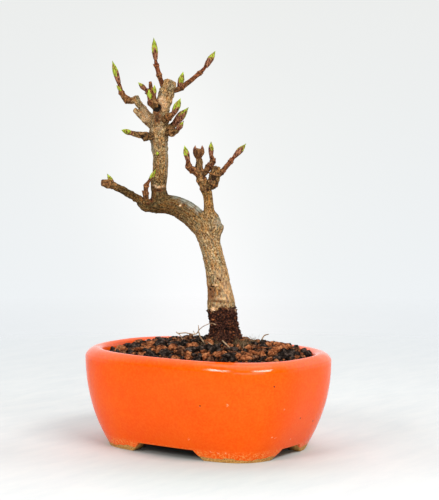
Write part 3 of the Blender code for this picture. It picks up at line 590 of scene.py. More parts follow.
def bark_finish():
    """Finely broken bark: a speckle of tan, orange, olive and dark brown, stained by soil at the foot."""
    f = Finish("maple_bark", 0.85, 0.08)
    grain = f.attribute("grain", "Vector")
    stain_and_shade = f.tones("stain_and_shade")
    cast = f.tones("cast")
    streak = f.noise(f.stretch(grain, (1.5, 1.5, 0.85)), 1.0, 3.0, 0.75, 0.3)
    colour = f.ramp(streak, (0.40, (0.075, 0.042, 0.02)), (0.46, (0.25, 0.155, 0.072)),
                    (0.50, (0.45, 0.30, 0.145)), (0.54, (0.62, 0.44, 0.23)), (0.61, (0.88, 0.70, 0.47)))
    cell = f.cells(f.stretch(grain, (1.35, 1.35, 1.0)), 1.0, "Color")
    pick = f.add("SeparateColor", {"Color": cell}).outputs
    chips = f.ramp(pick["Red"], (0.0, (0.06, 0.034, 0.022)), (0.2, (0.20, 0.10, 0.06)),
                   (0.36, (0.26, 0.22, 0.115)), (0.55, (0.46, 0.31, 0.16)), (0.74, (0.62, 0.31, 0.10)),
                   (0.88, (0.60, 0.44, 0.24)), (1.0, (0.88, 0.72, 0.50)))
    colour = f.mix(0.5, colour, chips)
    hue = f.noise(f.stretch(grain, (0.75, 0.75, 0.16), (31.0, 7.0, 3.0)), 1.0, 3.0, 0.7)
    colour = f.mix(1.0, colour, f.ramp(hue, (0.38, (0.60, 0.70, 0.71)), (0.47, (0.92, 0.95, 0.89)),
                                       (0.55, (1.0, 0.88, 0.70)), (0.64, (1.0, 0.72, 0.42))), "MULTIPLY")
    fleck = f.noise(f.stretch(grain, (1.1, 1.1, 1.0), (5.0, 50.0, 9.0)), 1.5, 2.0, 0.6)
    colour = f.mix(f.ramp(fleck, (0.56, 0.0), (0.61, 0.85)), colour, (0.06, 0.035, 0.02))
    colour = f.mix(f.ramp(fleck, (0.34, 0.6), (0.41, 0.0)), colour, (0.80, 0.64, 0.46))
    colour = f.mix(cast["Blue"], colour, (1.0, 0.76, 0.46), "MULTIPLY")
    # Painted shade: the bark darkens by its shade attribute
    colour = f.mix(cast["Green"], colour, (0.22, 0.20, 0.14), "MULTIPLY")
    lines = f.noise(f.stretch(grain, (1.5, 1.5, 0.14)), 1.0, 3.0, 0.6)
    grey = f.ramp(lines, (0.38, (0.09, 0.09, 0.065)), (0.5, (0.24, 0.24, 0.19)), (0.6, (0.43, 0.43, 0.36)))
    colour = f.mix(cast["Red"], colour, grey)
    crust = f.noise(grain, 1.2, 5.0, 0.75)
    soil = f.ramp(crust, (0.38, (0.010, 0.005, 0.004)), (0.5, (0.046, 0.017, 0.012)),
                  (0.57, (0.13, 0.045, 0.028)), (0.66, (0.40, 0.13, 0.04)))
    colour = f.mix(stain_and_shade["Red"], colour, soil)
    pale = f.ramp(fleck, (0.35, (0.52, 0.20, 0.07)), (0.47, (0.76, 0.42, 0.20)), (0.6, (0.92, 0.70, 0.47)))
    colour = f.mix(stain_and_shade["Green"], colour, pale)
    # Dark marks: rot, scars and flecks, and painted shade in the crotch at the leader's foot, in the groove under
    # its ring, in the cracks and in the front stub's hollow
    rot_and_shade = f.ramp(stain_and_shade["Blue"], (0.45, (0.16, 0.065, 0.028)), (0.66, (0.26, 0.078, 0.026)),
                 (0.8, (0.10, 0.034, 0.015)), (0.92, (0.010, 0.007, 0.005)))
    colour = f.mix(stain_and_shade["Blue"], colour, rot_and_shade)
    bump = f.bump(streak, 0.5)
    bump = f.bump(fleck, 0.25, bump)
    bump = f.bump(f.sum("MULTIPLY", crust, stain_and_shade["Red"]), 1.4, bump)
    return f.done(Base_Color=colour, Normal=bump)


def twig_finish():
    """Young bark: smooth red-brown on the shoots, greyer, rougher and mottled on the old spurs."""
    f = Finish("young_bark", 0.8, 0.04)
    grain = f.attribute("grain", "Vector")
    tone = f.tones("twig_tone")
    streak = f.noise(f.stretch(grain, (1.5, 1.5, 0.6)), 1.0, 3.0, 0.7)
    young = f.ramp(streak, (0.38, (0.035, 0.009, 0.005)), (0.5, (0.125, 0.03, 0.013)), (0.6, (0.30, 0.10, 0.04)))
    old = f.ramp(streak, (0.38, (0.022, 0.013, 0.007)), (0.47, (0.10, 0.056, 0.022)), (0.54, (0.23, 0.13, 0.045)),
                 (0.63, (0.46, 0.28, 0.12)))
    pick = f.add("SeparateColor", {"Color": f.cells(f.stretch(grain, (1.3, 1.3, 0.9)), 1.0, "Color")}).outputs
    chips = f.ramp(pick["Red"], (0.0, (0.02, 0.011, 0.007)), (0.3, (0.09, 0.035, 0.016)),
                   (0.55, (0.16, 0.115, 0.045)), (0.8, (0.40, 0.15, 0.035)), (1.0, (0.52, 0.34, 0.17)))
    old = f.mix(0.5, old, chips)
    colour = f.mix(tone["Red"], young, old)
    dots = f.ramp(f.cells(f.stretch(grain, (1.2, 1.2, 0.7)), 1.0), (0.1, 1.0), (0.17, 0.0))
    colour = f.mix(f.sum("MULTIPLY", dots, 0.3), colour, (0.34, 0.15, 0.06))
    colour = f.mix(tone["Green"], colour, (0.42, 0.17, 0.06))
    colour = f.mix(tone["Blue"], colour, (0.02, 0.011, 0.008))
    bump = f.bump(streak, 0.35)
    bump = f.bump(dots, 0.08, bump)
    return f.done(Base_Color=colour, Normal=bump)


def bud_finish(name):
    """A bud scale's skin, streaked along and mottled."""
    dark, mid, light = BUD_TONES[name]
    f = Finish(name, 0.6, 0.15)
    streak = f.noise(f.place((1.5, 1.5, 0.6)), 1.0, 3.0, 0.6)
    colour = f.ramp(streak, (0.37, dark), (0.47, mid), (0.6, light))
    return f.done(Base_Color=colour, Normal=f.bump(streak, 0.12))


def lava_finish(name):
    """Rough porous lava: pits, crumbs and a dusting of lighter grit."""
    deep, mid, light = LAVA_TONES[name]
    f = Finish(name, 0.9, 0.05)
    spot = f.place()
    crumb = f.noise(spot, 0.5, 5.0, 0.65)
    colour = f.ramp(crumb, (0.37, deep), (0.49, mid), (0.64, light))
    pore = f.ramp(f.cells(spot, 1.5), (0.12, 0.0), (0.3, 1.0))
    colour = f.mix(f.ramp(pore, (0.0, 0.5), (1.0, 0.0)), colour, deep)
    bump = f.bump(crumb, 0.7)
    bump = f.bump(pore, 0.35, bump)
    return f.done(Base_Color=colour, Normal=bump)


def fibre_finish(name):
    """Dry plant fibre, mottled."""
    dark, light = FIBRE_TONES[name]
    f = Finish(name, 0.8, 0.2)
    fleck = f.noise(f.place(), 0.7, 3.0, 0.6)
    return f.done(Base_Color=f.ramp(fleck, (0.38, dark), (0.62, light)), Normal=f.bump(fleck, 0.1))


def ring_edges(verts):
    """The edges of one ring of vertices."""
    return list({edge for vert in verts for edge in vert.link_edges})


def close_skin(bm, rings):
    """Bridges each ring to the next and closes the first and the last."""
    for low, high in zip(rings, rings[1:]):
        bmesh.ops.bridge_loops(bm, edges=low + high)
    for ring in (rings[0], rings[-1]):
        bmesh.ops.edgeloop_fill(bm, edges=ring)


def loose(bm, name):
    """Puts a mesh in a new object of the scene, its faces pointing out."""
    bmesh.ops.recalc_face_normals(bm, faces=bm.faces)
    mesh = bpy.data.meshes.new(name)
    bm.to_mesh(mesh)
    bm.free()
    obj = bpy.data.objects.new(name, mesh)
    bpy.context.scene.collection.objects.link(obj)
    return obj


def settle(obj):
    """Turns the object's modifiers into its mesh."""
    graph = bpy.context.evaluated_depsgraph_get()
    mesh = bpy.data.meshes.new_from_object(obj.evaluated_get(graph))
    obj.modifiers.clear()
    before = obj.data
    obj.data = mesh
    bpy.data.meshes.remove(before)


def cut(body, cutters):
    """Takes each cutter's space out of the body."""
    for cutter in cutters:
        tool = loose(cutter, "cutter")
        take = body.modifiers.new("Cut", "BOOLEAN")
        take.operation = "DIFFERENCE"
        take.solver = "EXACT"
        take.object = tool
        settle(body)
        bpy.data.objects.remove(tool)


def finished(obj, material, slot, *nodes):
    """Scales a piece to metres, gives it its finish and sets it on the frame, in place of CAD nodes."""
    obj.data.transform(Matrix.Scale(MM, 4))
    obj.data.materials.clear()
    obj.data.materials.append(material)
    obj.data.shade_smooth()
    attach(obj, "root")
    if nodes:
        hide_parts(*nodes)
    return obj


def paint(obj, name, values):
    """Stores a number or a vector for each vertex under a name."""
    kind, field = (("FLOAT", "value") if values.ndim == 1 else ("FLOAT_VECTOR", "vector"))
    layer = obj.data.attributes.new(name, kind, "POINT")
    layer.data.foreach_set(field, values.astype(np.float32).ravel())


def smooth(points, steps):
    """Reads a smooth curve through points, in steps from each to the next."""
    known = [2 * points[0] - points[1]] + points + [2 * points[-1] - points[-2]]
    read = []
    for a, b, c, d in zip(known, known[1:], known[2:], known[3:]):
        for step in range(steps):
            t = step / steps
            read.append(b + 0.5 * ((c - a) * t + (2 * a - 5 * b + 4 * c - d) * t ** 2
                                   + (3 * b - a - 3 * c + d) * t ** 3))
    return read + [points[-1]]


def smooth_curve(stations, steps):
    """Reads a smooth curve through stations of across, away, up, thickness: (centre, radius) pairs."""
    read = smooth([Vector(station) for station in stations], steps)
    return [(world(point[0], point[1], point[2]), point[3] / 2) for point in read]


def walk(curve):
    """Gives each (centre, radius) its way, a side carried along without twist, and the length so far."""
    centres = [centre for centre, _ in curve]
    behind = centres[:1] + centres[:-1]
    ahead = centres[1:] + centres[-1:]
    side = (ahead[0] - behind[0]).orthogonal()
    along = 0.0
    path = []
    for (centre, radius), near, far in zip(curve, behind, ahead):
        way = (far - near).normalized()
        side = (side - way * side.dot(way)).normalized()
        along += (centre - near).length
        path.append(Section(centre, radius, way, side, along))
    return path


def sweep(bm, path, sides):
    """Sweeps a round section along a path, with closed ends."""
    rings = []
    for part in path:
        turn = Matrix((part.side, part.way.cross(part.side), part.way)).transposed().to_4x4()
        turn.translation = part.centre
        made = bmesh.ops.create_circle(bm, segments=sides, radius=part.radius, matrix=turn)
        rings.append(ring_edges(made["verts"]))
    close_skin(bm, rings)


def melted(name, paths, sides, voxel, softness):
    """One skin over several limbs that run into each other, eased where they meet."""
    bm = bmesh.new()
    for path in paths:
        sweep(bm, path, sides)
    obj = loose(bm, name)
    join = obj.modifiers.new("One skin", "REMESH")
    join.mode = "VOXEL"
    join.voxel_size = voxel
    ease = obj.modifiers.new("Ease", "SMOOTH")
    ease.factor = 0.5
    ease.iterations = softness
    settle(obj)
    return obj


def read_skin(obj):
    """The places and normals of an object's vertices."""
    count = len(obj.data.vertices)
    spots = np.empty(count * 3, np.float32)
    obj.data.vertices.foreach_get("co", spots)
    normals = np.empty(count * 3, np.float32)
    obj.data.vertex_normals.foreach_get("vector", normals)
    return spots.reshape(-1, 3).astype(float), normals.reshape(-1, 3).astype(float)


def swell(obj, spots, normals, relief):
    """Moves each vertex out along its normal by its relief."""
    moved = spots + normals * relief[:, None]
    obj.data.vertices.foreach_set("co", moved.astype(np.float32).ravel())
    obj.data.update()
    return moved


def limb_places(spots, paths):
    """For each point of a skin: its place off its limb's line and along it; the radius; the limb."""
    count = len(spots)
    nearest = np.full(count, np.inf)
    places = np.zeros((count, 3))
    girth = np.zeros(count)
    owner = np.zeros(count, int)
    for number, path in enumerate(paths):
        for low, high in zip(path, path[1:]):
            start = np.array(low.centre)
            line = np.array(high.centre) - start
            share = np.clip((spots - start) @ line / (line @ line), 0.0, 1.0)
            off = spots - start - share[:, None] * line
            radius = low.radius + share * (high.radius - low.radius)
            apart = np.linalg.norm(off, axis=1) - radius
            mine = apart < nearest
            side = np.array(low.side)
            across = np.array(low.way.cross(low.side))
            nearest[mine] = apart[mine]
            girth[mine] = radius[mine]
            owner[mine] = number
            along = low.along + share * (high.along - low.along)
            found = np.stack((off @ side, off @ across, along), axis=1)
            places[mine] = found[mine]
    return places, girth, owner


def blended(view, table, reach):
    """Reads a table of across, up and values: each value, blended by distance, for every point."""
    total = np.full(len(view), 1e-12)
    mixed = np.zeros((len(table[0]) - 2, len(view)))
    for across, up, *values in table:
        weight = np.exp(-((view[:, 0] - across) ** 2 + (view[:, 2] - up) ** 2) / reach ** 2)
        total += weight
        mixed += np.outer(values, weight)
    return mixed / total


def soil_stain(spots, view):
    """How much soil hides the bark: all of it below a ragged line at the trunk's collar, none above."""
    line = SOIL_LINE + SOIL_LINE_RISE * ramp(view[:, 0], 5.0, 7.6) + 0.6 * grainy(spots, 0.35, 3.0)
    line += 1.0 * grainy(spots, 0.85, 5.0) + 0.9 * grainy(spots, 1.7, 9.0)
    return ramp(line - spots[:, 2], -0.2, 0.2)


def work_marks(view, facing, crumb, relief):
    """Works the marks into the relief, on the front only, and gives how pale, dark and grey they are."""
    pale = np.zeros(len(view))
    dark = np.zeros(len(view))
    grey = np.zeros(len(view))
    for mark in MARKS:
        far = np.hypot((view[:, 0] - mark.across) / mark.wide, (view[:, 2] - mark.up) / mark.high)
        weight = ramp(1.25 - far + 0.3 * crumb, 0.0, 1.0) * (facing[:, 1] < 0.25)
        relief += mark.lift * weight
        pale = np.maximum(pale, mark.pale * weight)
        dark = np.maximum(dark, mark.dark * weight)
        grey = np.maximum(grey, mark.grey * weight)
    return pale, dark, grey


def make_bark():
    """One skin over trunk and boughs, with the bark's cracks, plates, scars and the soil-stained collar."""
    limbs = (TRUNK, OLD_CUT, CUT_SHOULDER, ARCHING_BOUGH, LEADER, FRONT_STUB, CROWN_LEFT_BOUGH, OLD_SPUR,
             LEFT_BOUGH, RIGHT_BOUGH)
    paths = [walk(smooth_curve(stations, LIMB_STEPS)) for stations in limbs + STUMPS]
    obj = melted("bark", paths, LIMB_SIDES, BARK_VOXEL, BARK_EASING)
    spots, normals = read_skin(obj)
    places, girth, owner = limb_places(spots, paths)
    places[:, 2] += owner * BARK_SHIFT
    view = tree_view(spots)
    up = spots[:, 2]

    soil = soil_stain(spots, view)
    size =np.clip(girth / 6.0, 0.4, 1.0)
    streak = grainy(places, (0.8, 0.8, 0.25))
    crack = (1 - ramp(np.abs(streak), 0.0, 0.12)) * ramp(grainy(places, 0.25, 8.0), -0.2, 0.35)
    plate = grainy(places, (0.55, 0.55, 0.3), 20.0)
    knob = grainy(places, (0.2, 0.2, 0.13), 40.0)
    crumb = grainy(places, 1.05, 60.0)
    old = np.maximum(ramp(up, 143.0, 161.0), ramp(-view[:, 0], 22.0, 29.0) * ramp(140.0 - up, 0.0, 4.0))
    lumps = 0.7 * grainy(spots, 0.34, 70.0) + 0.5 * grainy(spots, 0.62, 77.0)
    flakes = grainy(places, (0.95, 0.95, 0.7), 90.0)
    relief = (0.2 * plate + 0.36 * knob - 0.14 * crack + 0.2 * crumb + 0.16 * flakes) * size
    relief += old * (0.85 * lumps + 0.2 * flakes) * np.clip(girth / 3.5, 0.5, 1.0)
    crust = 0.6 * grainy(spots, 0.95, 2.0) + 0.5 * grainy(spots, 0.4, 6.0) + 0.3 * grainy(spots, 1.6, 4.0) + 0.1
    relief = relief * (1 - soil) + crust * soil
    pale, dark, grey = work_marks(view, tree_view(normals), crumb, relief)
    moved =swell(obj, spots, normals, relief)

    # Painted shade and the bark's warmth, by place
    shade, warm = blended(view, TONES, 6.0)
    # Painted shade in the hollows between the lumps of the old bark
    shade = np.clip(shade + 0.22 * old * ramp(-lumps, 0.05, 0.5), 0, 1)
    # The cracks take a darker orange-brown: partly their own tone, partly painted shade in them
    dark = np.maximum(dark, 0.35 * crack * (1 - soil) * (1 - pale))
    paint(obj, "grain", places)
    # Soil stain, pale bark, and dark marks with painted shade
    paint(obj, "stain_and_shade", np.stack((soil, np.clip(pale, 0, 1), np.clip(dark, 0, 1)), axis=1))
    paint(obj, "cast", np.stack((np.clip(grey, 0, 1), shade, warm), axis=1))
    finished(obj, bark_finish(), "bark", "trunk", "arching_bough", "leader", "crown_left_bough", "left_bough",
             "right_bough")
    make_crumbs(moved[(soil > 0.7) & (up > CRUMBS_FROM)])


def make_crumbs(places):
    """Crumbs of soil stuck to the trunk's collar, dealt out over its surface; every sixth is rust."""
    chance = random.Random(CRUMB_SEED)
    dark = bmesh.new()
    rust = bmesh.new()
    for number in range(CRUMB_COUNT):
        x, y, up = places[chance.randrange(len(places))]
        grain(rust if number % 6 == 0 else dark, chance, x, y, up, 0.3 + 0.6 * chance.random() ** 2, 1)
    finished(loose(dark, "collar_crumbs"), lava_finish("crumb_dark"), "soil")
    finished(loose(rust, "collar_flecks"), lava_finish("crumb_rust"), "soil")


def spur(seed, root, way, length, thick):
    """A short twig that leaves its limb along a way and turns upward by a seeded rule, and its bud."""
    chance = random.Random(seed)
    points = [Vector(root)]
    heading = Vector(way).normalized()
    for _ in range(2):
        points.append(points[-1] + heading * length / 3)
        waver = Vector([chance.uniform(-SPUR_WAVER, SPUR_WAVER) for _ in range(3)])
        heading = (heading + Vector((0.0, 0.0, 0.7)) + waver).normalized()
    foot = points[-1].lerp(points[-2], 0.15)
    tip = points[-1] + heading * length * 0.62
    twig = Twig(thick, thick * 0.75, (0.9, 0.4), tuple(tuple(point) for point in points))
    return twig, Bud(tuple(foot), tuple(tip), thick * 0.92, 0.35)


def back_spurs():
    """The two spurs at the leader's back."""
    return (spur(SPUR_SEED, (-24.4, 2.4, 160.5), (-0.1, 1.0, 0.35), 12.0, 3.4),
            spur(SPUR_SEED + 1, (-24.0, 2.2, 146.5), (0.0, 1.0, 0.3), 9.5, 2.9))


def twig_path(twig):
    """The path of a twig that tapers to its end and swells at each node, and how far along its nodes lie."""
    last = len(twig.points) - 1
    stations = []
    for place, point in enumerate(twig.points):
        share = place / last
        age = min(twig.age[0] + (twig.age[1] - twig.age[0]) * share, 1.0)
        thick = (twig.root + (twig.end - twig.root) * share) * (YOUNG_GIRTH + (1 - YOUNG_GIRTH) * age)
        if 0 < place < last:
            thick *= NODE_SWELLING
        stations.append((*point, thick))
    path = walk(smooth_curve(stations, LIMB_STEPS))
    return path, [path[LIMB_STEPS * place].along for place in range(1, last)]


def read_twigs(places, owner, paths, nodes, ages):
    """For each point of the twigs' skin: its age, and how far it lies in a node's ring, scar and knob."""
    age, ring, scar, knob = np.zeros((4, len(places)))
    for number, (path, joints, (first, last)) in enumerate(zip(paths, nodes, ages)):
        mine = owner == number
        share = places[mine, 2] / path[-1].along
        age[mine] = first + (last - first) * share
        for joint in joints:
            off = places[mine, 2] - joint
            ring[mine] += np.exp(-(off / 0.32) ** 2)
            scar[mine] += np.exp(-((off + 0.62) / 0.25) ** 2)
            knob[mine] += np.exp(-(off / 0.95) ** 2)
    return age, ring, scar, knob


def make_twigs():
    """One skin over all the twigs, ringed at the nodes, wrinkled and pitted."""
    twigs = TWIGS + tuple(twig for twig, _ in back_spurs())
    paths = []
    nodes = []
    ages = []
    for twig in twigs:
        path, joints = twig_path(twig)
        paths.append(path)
        nodes.append(joints)
        ages.append(twig.age)
    paths.append(walk(smooth_curve(BALL, BALL_STEPS)))
    nodes.append([])
    ages.append((0.6, 0.5))
    obj = melted("twigs", paths, TWIG_SIDES, TWIG_VOXEL, TWIG_EASING)
    spots, normals = read_skin(obj)
    places, girth, owner = limb_places(spots, paths)
    age, ring, scar, knob = read_twigs(places, owner, paths, nodes, ages)
    mossy = np.clip((age - 1.0) * 1.8, 0.0, 0.85)
    age = np.minimum(age, 1.0)
    places[:, 2] += owner * TWIG_SHIFT
    wrinkle = grainy(places, (1.1, 1.1, 0.35))
    lump = grainy(places, (0.5, 0.5, 0.3), 11.0)
    crumb = grainy(places, 1.7, 31.0)
    size = np.clip(girth / 2.0, 0.5, 1.2)
    relief = (0.06 + 0.18 * age) * wrinkle + (0.1 + 0.5 * age) * lump + (0.04 + 0.22 * age) * crumb
    relief = relief * size + 0.1 * ring - 0.1 * scar + 0.34 * np.minimum(knob, 1.2)
    swell(obj, spots, normals, relief)
    rough_age = np.clip(age + 0.3 * lump, 0.0, 1.0)
    dark = ramp(-lump, 0.1, 0.5) * age * 0.7 + 0.5 * scar + mossy * ramp(crumb, -0.5, 0.3)
    paint(obj, "grain", places)
    paint(obj, "twig_tone", np.stack((rough_age, np.clip(ring, 0, 1) * 0.35, np.clip(dark, 0, 1)), axis=1))
    finished(obj, twig_finish(), "twigs", "crown_spire", "crown_right_twigs", "crown_left_twigs",
             "crown_heart_twigs", "crown_front_bud", "crown_side_buds", "crown_level_twig", "crown_back_twig",
             "low_back_spur", "elbow_twig", "left_tip_twigs", "right_crown_twigs")


def bud_girth(share):
    """A bud's half width as a share of its widest, at a share of its length."""
    for (low, narrow), (high, wide) in zip(BUD_SHAPE, BUD_SHAPE[1:]):
        if share <= high:
            t = (share - low) / (high - low)
            t = t * t * (3 - 2 * t) * 0.35 + t * 0.65
            return narrow + (wide - narrow) * t
    return BUD_SHAPE[-1][1]


class BudShape:
    """Where a bud stands: turns a share of its length, an angle and a lift into a point."""

    def __init__(self, bud, turn):
        self.low = world(*bud.foot)
        self.line = world(*bud.tip) - self.low
        way = self.line.normalized()
        side = way.orthogonal().normalized()
        self.side = (Matrix.Rotation(turn, 3, way) @ side)
        self.across = way.cross(self.side)
        self.half = bud.width / 2 * BUD_PLUMP

    def point(self, share, angle, lift):
        out = self.half * bud_girth(min(max(share, 0.0), 1.0)) * 0.9 + lift
        return self.low + self.line * share + (self.side * math.cos(angle) + self.across * math.sin(angle)) * out


def scale_leaf(bm, shape, middle, start, end, spread, lift):
    """One pointed scale wrapped round a bud: from start to end of its length, spread to each side."""
    made = bmesh.ops.create_grid(bm, x_segments=4, y_segments=6, size=1.0)["verts"]
    for vert in made:
        across = vert.co.x
        share = (vert.co.y + 1) / 2
        if share < SCALE_WIDEST:
            wide = min(1.0, 0.72 + share / SCALE_WIDEST * 0.28)
        else:
            wide = 1 - ((share - SCALE_WIDEST) / (1 - SCALE_WIDEST)) ** 1.7
        out = lift * (1 - 0.45 * abs(across) ** 2)
        vert.co =shape.point(start + (end - start) * share, middle + across * spread * wide, out)
    bmesh.ops.remove_doubles(bm, verts=made, dist=0.004)
    made = [vert for vert in made if vert.is_valid]
    faces = list({face for vert in made for face in vert.link_faces})
    bmesh.ops.solidify(bm, geom=faces, thickness=0.12)


def bud_core(bm, shape, start, shrink):
    """The smooth inner body of a bud."""
    curve = []
    for step in range(9):
        share = start + (1.0 - start) * step / 8
        curve.append((shape.low + shape.line * share, max(shape.half * bud_girth(share) * shrink, 0.05)))
    sweep(bm, walk(curve), BUD_SIDES)


def make_buds():
    """The buds: a green core, two pairs of green scales, one edged in brown, and brown ones at the foot."""
    green = bmesh.new()
    brown = bmesh.new()
    tips = bmesh.new()
    chance = random.Random(BUD_SEED)
    quarter = math.pi / 2
    for bud in BUDS + tuple(bud for _, bud in back_spurs()):
        shape = BudShape(bud, chance.uniform(0, math.pi))
        b = bud.brown
        wide = bud.width
        bud_core(green, shape, 0.02, 0.8)
        for pair in range(5):
            for half in range(2):
                middle = pair * quarter + half * math.pi + chance.uniform(-0.12, 0.12)
                if pair == 0:
                    scale_leaf(brown, shape, middle, -0.02, b * 0.75, 1.25, 0.10 * wide)
                elif pair == 1:
                    scale_leaf(brown, shape, middle, 0.02, b * 1.25, 1.2, 0.075 * wide)
                elif pair == 2:
                    scale_leaf(brown, shape, middle, 0.06, b * 1.25 + 0.22, 0.85, 0.05 * wide)
                elif pair == 3:
                    end = 0.76 + chance.uniform(-0.05, 0.05)
                    scale_leaf(green, shape, middle, 0.10, end, 1.0, 0.03 * wide)
                    scale_leaf(tips, shape, middle, 0.09, end + 0.07, 1.3, 0.015 * wide)
                else:
                    scale_leaf(green, shape, middle, 0.2, 0.97, 0.95, 0.0)
        point = [(shape.low + shape.line * share, 0.04 + (1 - share) * 2.2 * wide / 2)
                 for share in (0.925, 0.96, 0.998)]
        sweep(tips, walk(point), TIP_SIDES)
    for foot, tip in BALL_SCALES:
        shape = BudShape(Bud(foot, tip, 1.9, 1.0), 0.0)
        bud_core(brown, shape, 0.0, 0.95)
    side_buds(brown)
    for bm, name, skin in ((green, "bud_hearts", "bud_green"), (brown, "bud_scales", "scale_brown"),
                           (tips, "bud_edges", "edge_brown")):
        finished(loose(bm, name), bud_finish(skin), "twigs")


def side_buds(bm):
    """Tiny sleeping buds in pairs at the nodes of the twigs, each pair a quarter turn from the last."""
    chance = random.Random(SIDE_BUD_SEED)
    for twig in TWIGS:
        path, joints = twig_path(twig)
        turn = chance.uniform(0, math.pi)
        for joint in joints:
            part = min(path, key=lambda section: abs(section.along - joint))
            turn += math.pi / 2
            for half in range(2):
                angle = turn + half * math.pi
                out = part.side * math.cos(angle) + part.way.cross(part.side) * math.sin(angle)
                foot = part.centre + out * part.radius * 0.75
                length = chance.uniform(1.3, 2.1)
                tip = foot + (part.way * 0.86 + out * 0.5) * length
                curve = [(foot.lerp(tip, share), 0.5 * girth * length / 1.7)
                         for share, girth in ((0.0, 0.7), (0.3, 1.0), (0.65, 0.7), (1.0, 0.1))]
                sweep(bm, walk(curve), TIP_SIDES)


def oval_point(half, power, angle):
    """A point of a plan between an ellipse and a rectangle, seen from its middle at this angle."""
    c = math.cos(angle)
    s = math.sin(angle)
    reach = (abs(c / half[0]) ** power + abs(s / half[1]) ** power) ** (-1 / power)
    return reach * c, reach * s


def wall_plan(up, inset, power=None):
    """The wall's plan at a height, drawn in by an inset: half sizes and squareness."""
    share = 1 - (1 - min(up / TURN_UP, 1.0)) ** WALL_CURVE
    half = [foot + (rim - foot) * share - inset for foot, rim in zip(FOOT_HALF, RIM_HALF)]
    return half, power or FOOT_POWER + (RIM_POWER - FOOT_POWER) * share


def shell(plans, sides):
    """Bridges oval plans, each ((half sizes, squareness), height), into one closed skin."""
    bm = bmesh.new()
    rings = []
    for (half, power), up in plans:
        made = bmesh.ops.create_circle(bm, segments=sides, radius=1.0)["verts"]
        for vert in made:
            vert.co = (*oval_point(half, power, math.atan2(vert.co.y, vert.co.x)), up)
        rings.append(ring_edges(made))
    close_skin(bm, rings)
    return bm


def notch(top_half, slant, reach):
    """A bar with curved flanks, wide at the bottom, that parts the feet of two facing sides."""
    flank = [(top_half + slant + 1.0, -2.0)]
    for step in range(11):
        share = step / 10
        flank.append((top_half + slant * (1 - share) ** NOTCH_CURVE, FOOT_HEIGHT * share))
    outline = flank + [(-wide, up) for wide, up in reversed(flank)]
    bm = bmesh.new()
    face = bm.faces.new([bm.verts.new((wide, -reach, up)) for wide, up in outline])
    pulled = bmesh.ops.extrude_face_region(bm, geom=[face])["geom"]
    far = [item for item in pulled if isinstance(item, bmesh.types.BMVert)]
    bmesh.ops.translate(bm, verts=far, vec=(0.0, 2 * reach, 0.0))
    return bm


def drain(x):
    """A rod that bores a drain hole through the floor."""
    bm = bmesh.new()
    middle = Matrix.Translation((x, 0.0, (FLOOR_UNDER + FLOOR_TOP) / 2))
    bmesh.ops.create_cone(bm, cap_ends=True, segments=32, radius1=DRAIN_RADIUS, radius2=DRAIN_RADIUS,
                          depth=2 * (FLOOR_TOP - FLOOR_UNDER), matrix=middle)
    return bm


def lip_profile():
    """The lip's round profile, read smoothly through its points: inward, height."""
    read = smooth([Vector((*point, 0.0)) for point in LIP], LIP_STEPS)
    inward, down = LIP[-1]
    return [(point.x, POT_HEIGHT - point.y) for point in read[1:-1]] + [(inward, POT_HEIGHT - down)]


def make_pot():
    """The pot: curved wall, rolled lip, floor with two drain holes, and four feet cut from a skirt."""
    skirt = wall_plan(0.0, SKIRT)
    plans = [(skirt, FLOOR_UNDER), (skirt, 0.0)]
    for step in range(WALL_RINGS + 1):
        up = TURN_UP * step / WALL_RINGS
        plans.append((wall_plan(up, 0.0), up))
    for inward, up in lip_profile():
        power = RIM_POWER + (MOUTH_POWER - RIM_POWER) * min(inward / LIP_WIDTH, 1.0)
        plans.append((wall_plan(TURN_UP, inward, power), up))
    low = FLOOR_TOP + FLOOR_FILLET
    for step in range(INNER_RINGS):
        up = TURN_UP + (low - TURN_UP) * (step + 1) / INNER_RINGS
        plans.append((wall_plan(up, WALL, MOUTH_POWER), up))
    plans.append((wall_plan(FLOOR_TOP, WALL + FLOOR_FILLET, MOUTH_POWER), FLOOR_TOP))
    pot = loose(shell(plans, POT_SIDES), "pot_shell")
    short = notch(*SHORT_NOTCH, RIM_HALF[0])
    bmesh.ops.rotate(short, verts=short.verts, matrix=Matrix.Rotation(math.pi / 2, 3, "Z"))
    cut(pot, [notch(*LONG_NOTCH, RIM_HALF[1]), short, drain(-DRAIN_AT), drain(DRAIN_AT)])
    soft = pot.modifiers.new("Soft edges", "BEVEL")
    soft.width = SOFT_EDGE
    soft.segments = 3
    soft.limit_method = "ANGLE"
    soft.angle_limit = math.radians(SOFT_ANGLE)
    settle(pot)
    inward = np.empty(len(pot.data.vertices))
    for vert in pot.data.vertices:
        x, y, up = vert.co
        wobble = HAND_WOBBLE * (0.5 + 0.5 * noise.noise(vert.co / WOBBLE_SIZE))
        size = math.hypot(x, y)
        (half_x, half_y), power = wall_plan(up, 0.0)
        edge = Vector(oval_point((half_x, half_y), power, math.atan2(y, x))).length
        inward[vert.index] = min(max((edge - size) / BARE_DEPTH, 0.0), 1.0) if up < FLOOR_TOP - 1 else 0.0
        if up > 1.0:
            vert.co = (x * (1 - wobble / max(size, 1.0)), y * (1 - wobble / max(size, 1.0)), up)
    paint(pot, "inward", inward)
    finished(pot, glaze_finish("orange_glaze", WALL_SHEEN), "glaze", "pot")
    for height, name, specular in THICKER_GLAZES:
        pot.data.materials.append(glaze_finish(name, specular))
        for face in pot.data.polygons:
            turned_in = face.center.x * face.normal.x + face.center.y * face.normal.y < 0
            if face.center.z > height * MM or (turned_in and face.center.z > INNER_FROM * MM):
                face.material_index = len(pot.data.materials) - 1
    pot.data.set_sharp_from_angle(angle=math.radians(SHARP_ANGLE))


def mouth_share(x, y):
    """How far out in the soil a point lies: 0 in the middle, 1 at the wall."""
    half, power = wall_plan(SOIL_EDGE, WALL + SOIL_GAP, MOUTH_POWER)
    return (abs(x / half[0]) ** power + abs(y / half[1]) ** power) ** (1 / power)


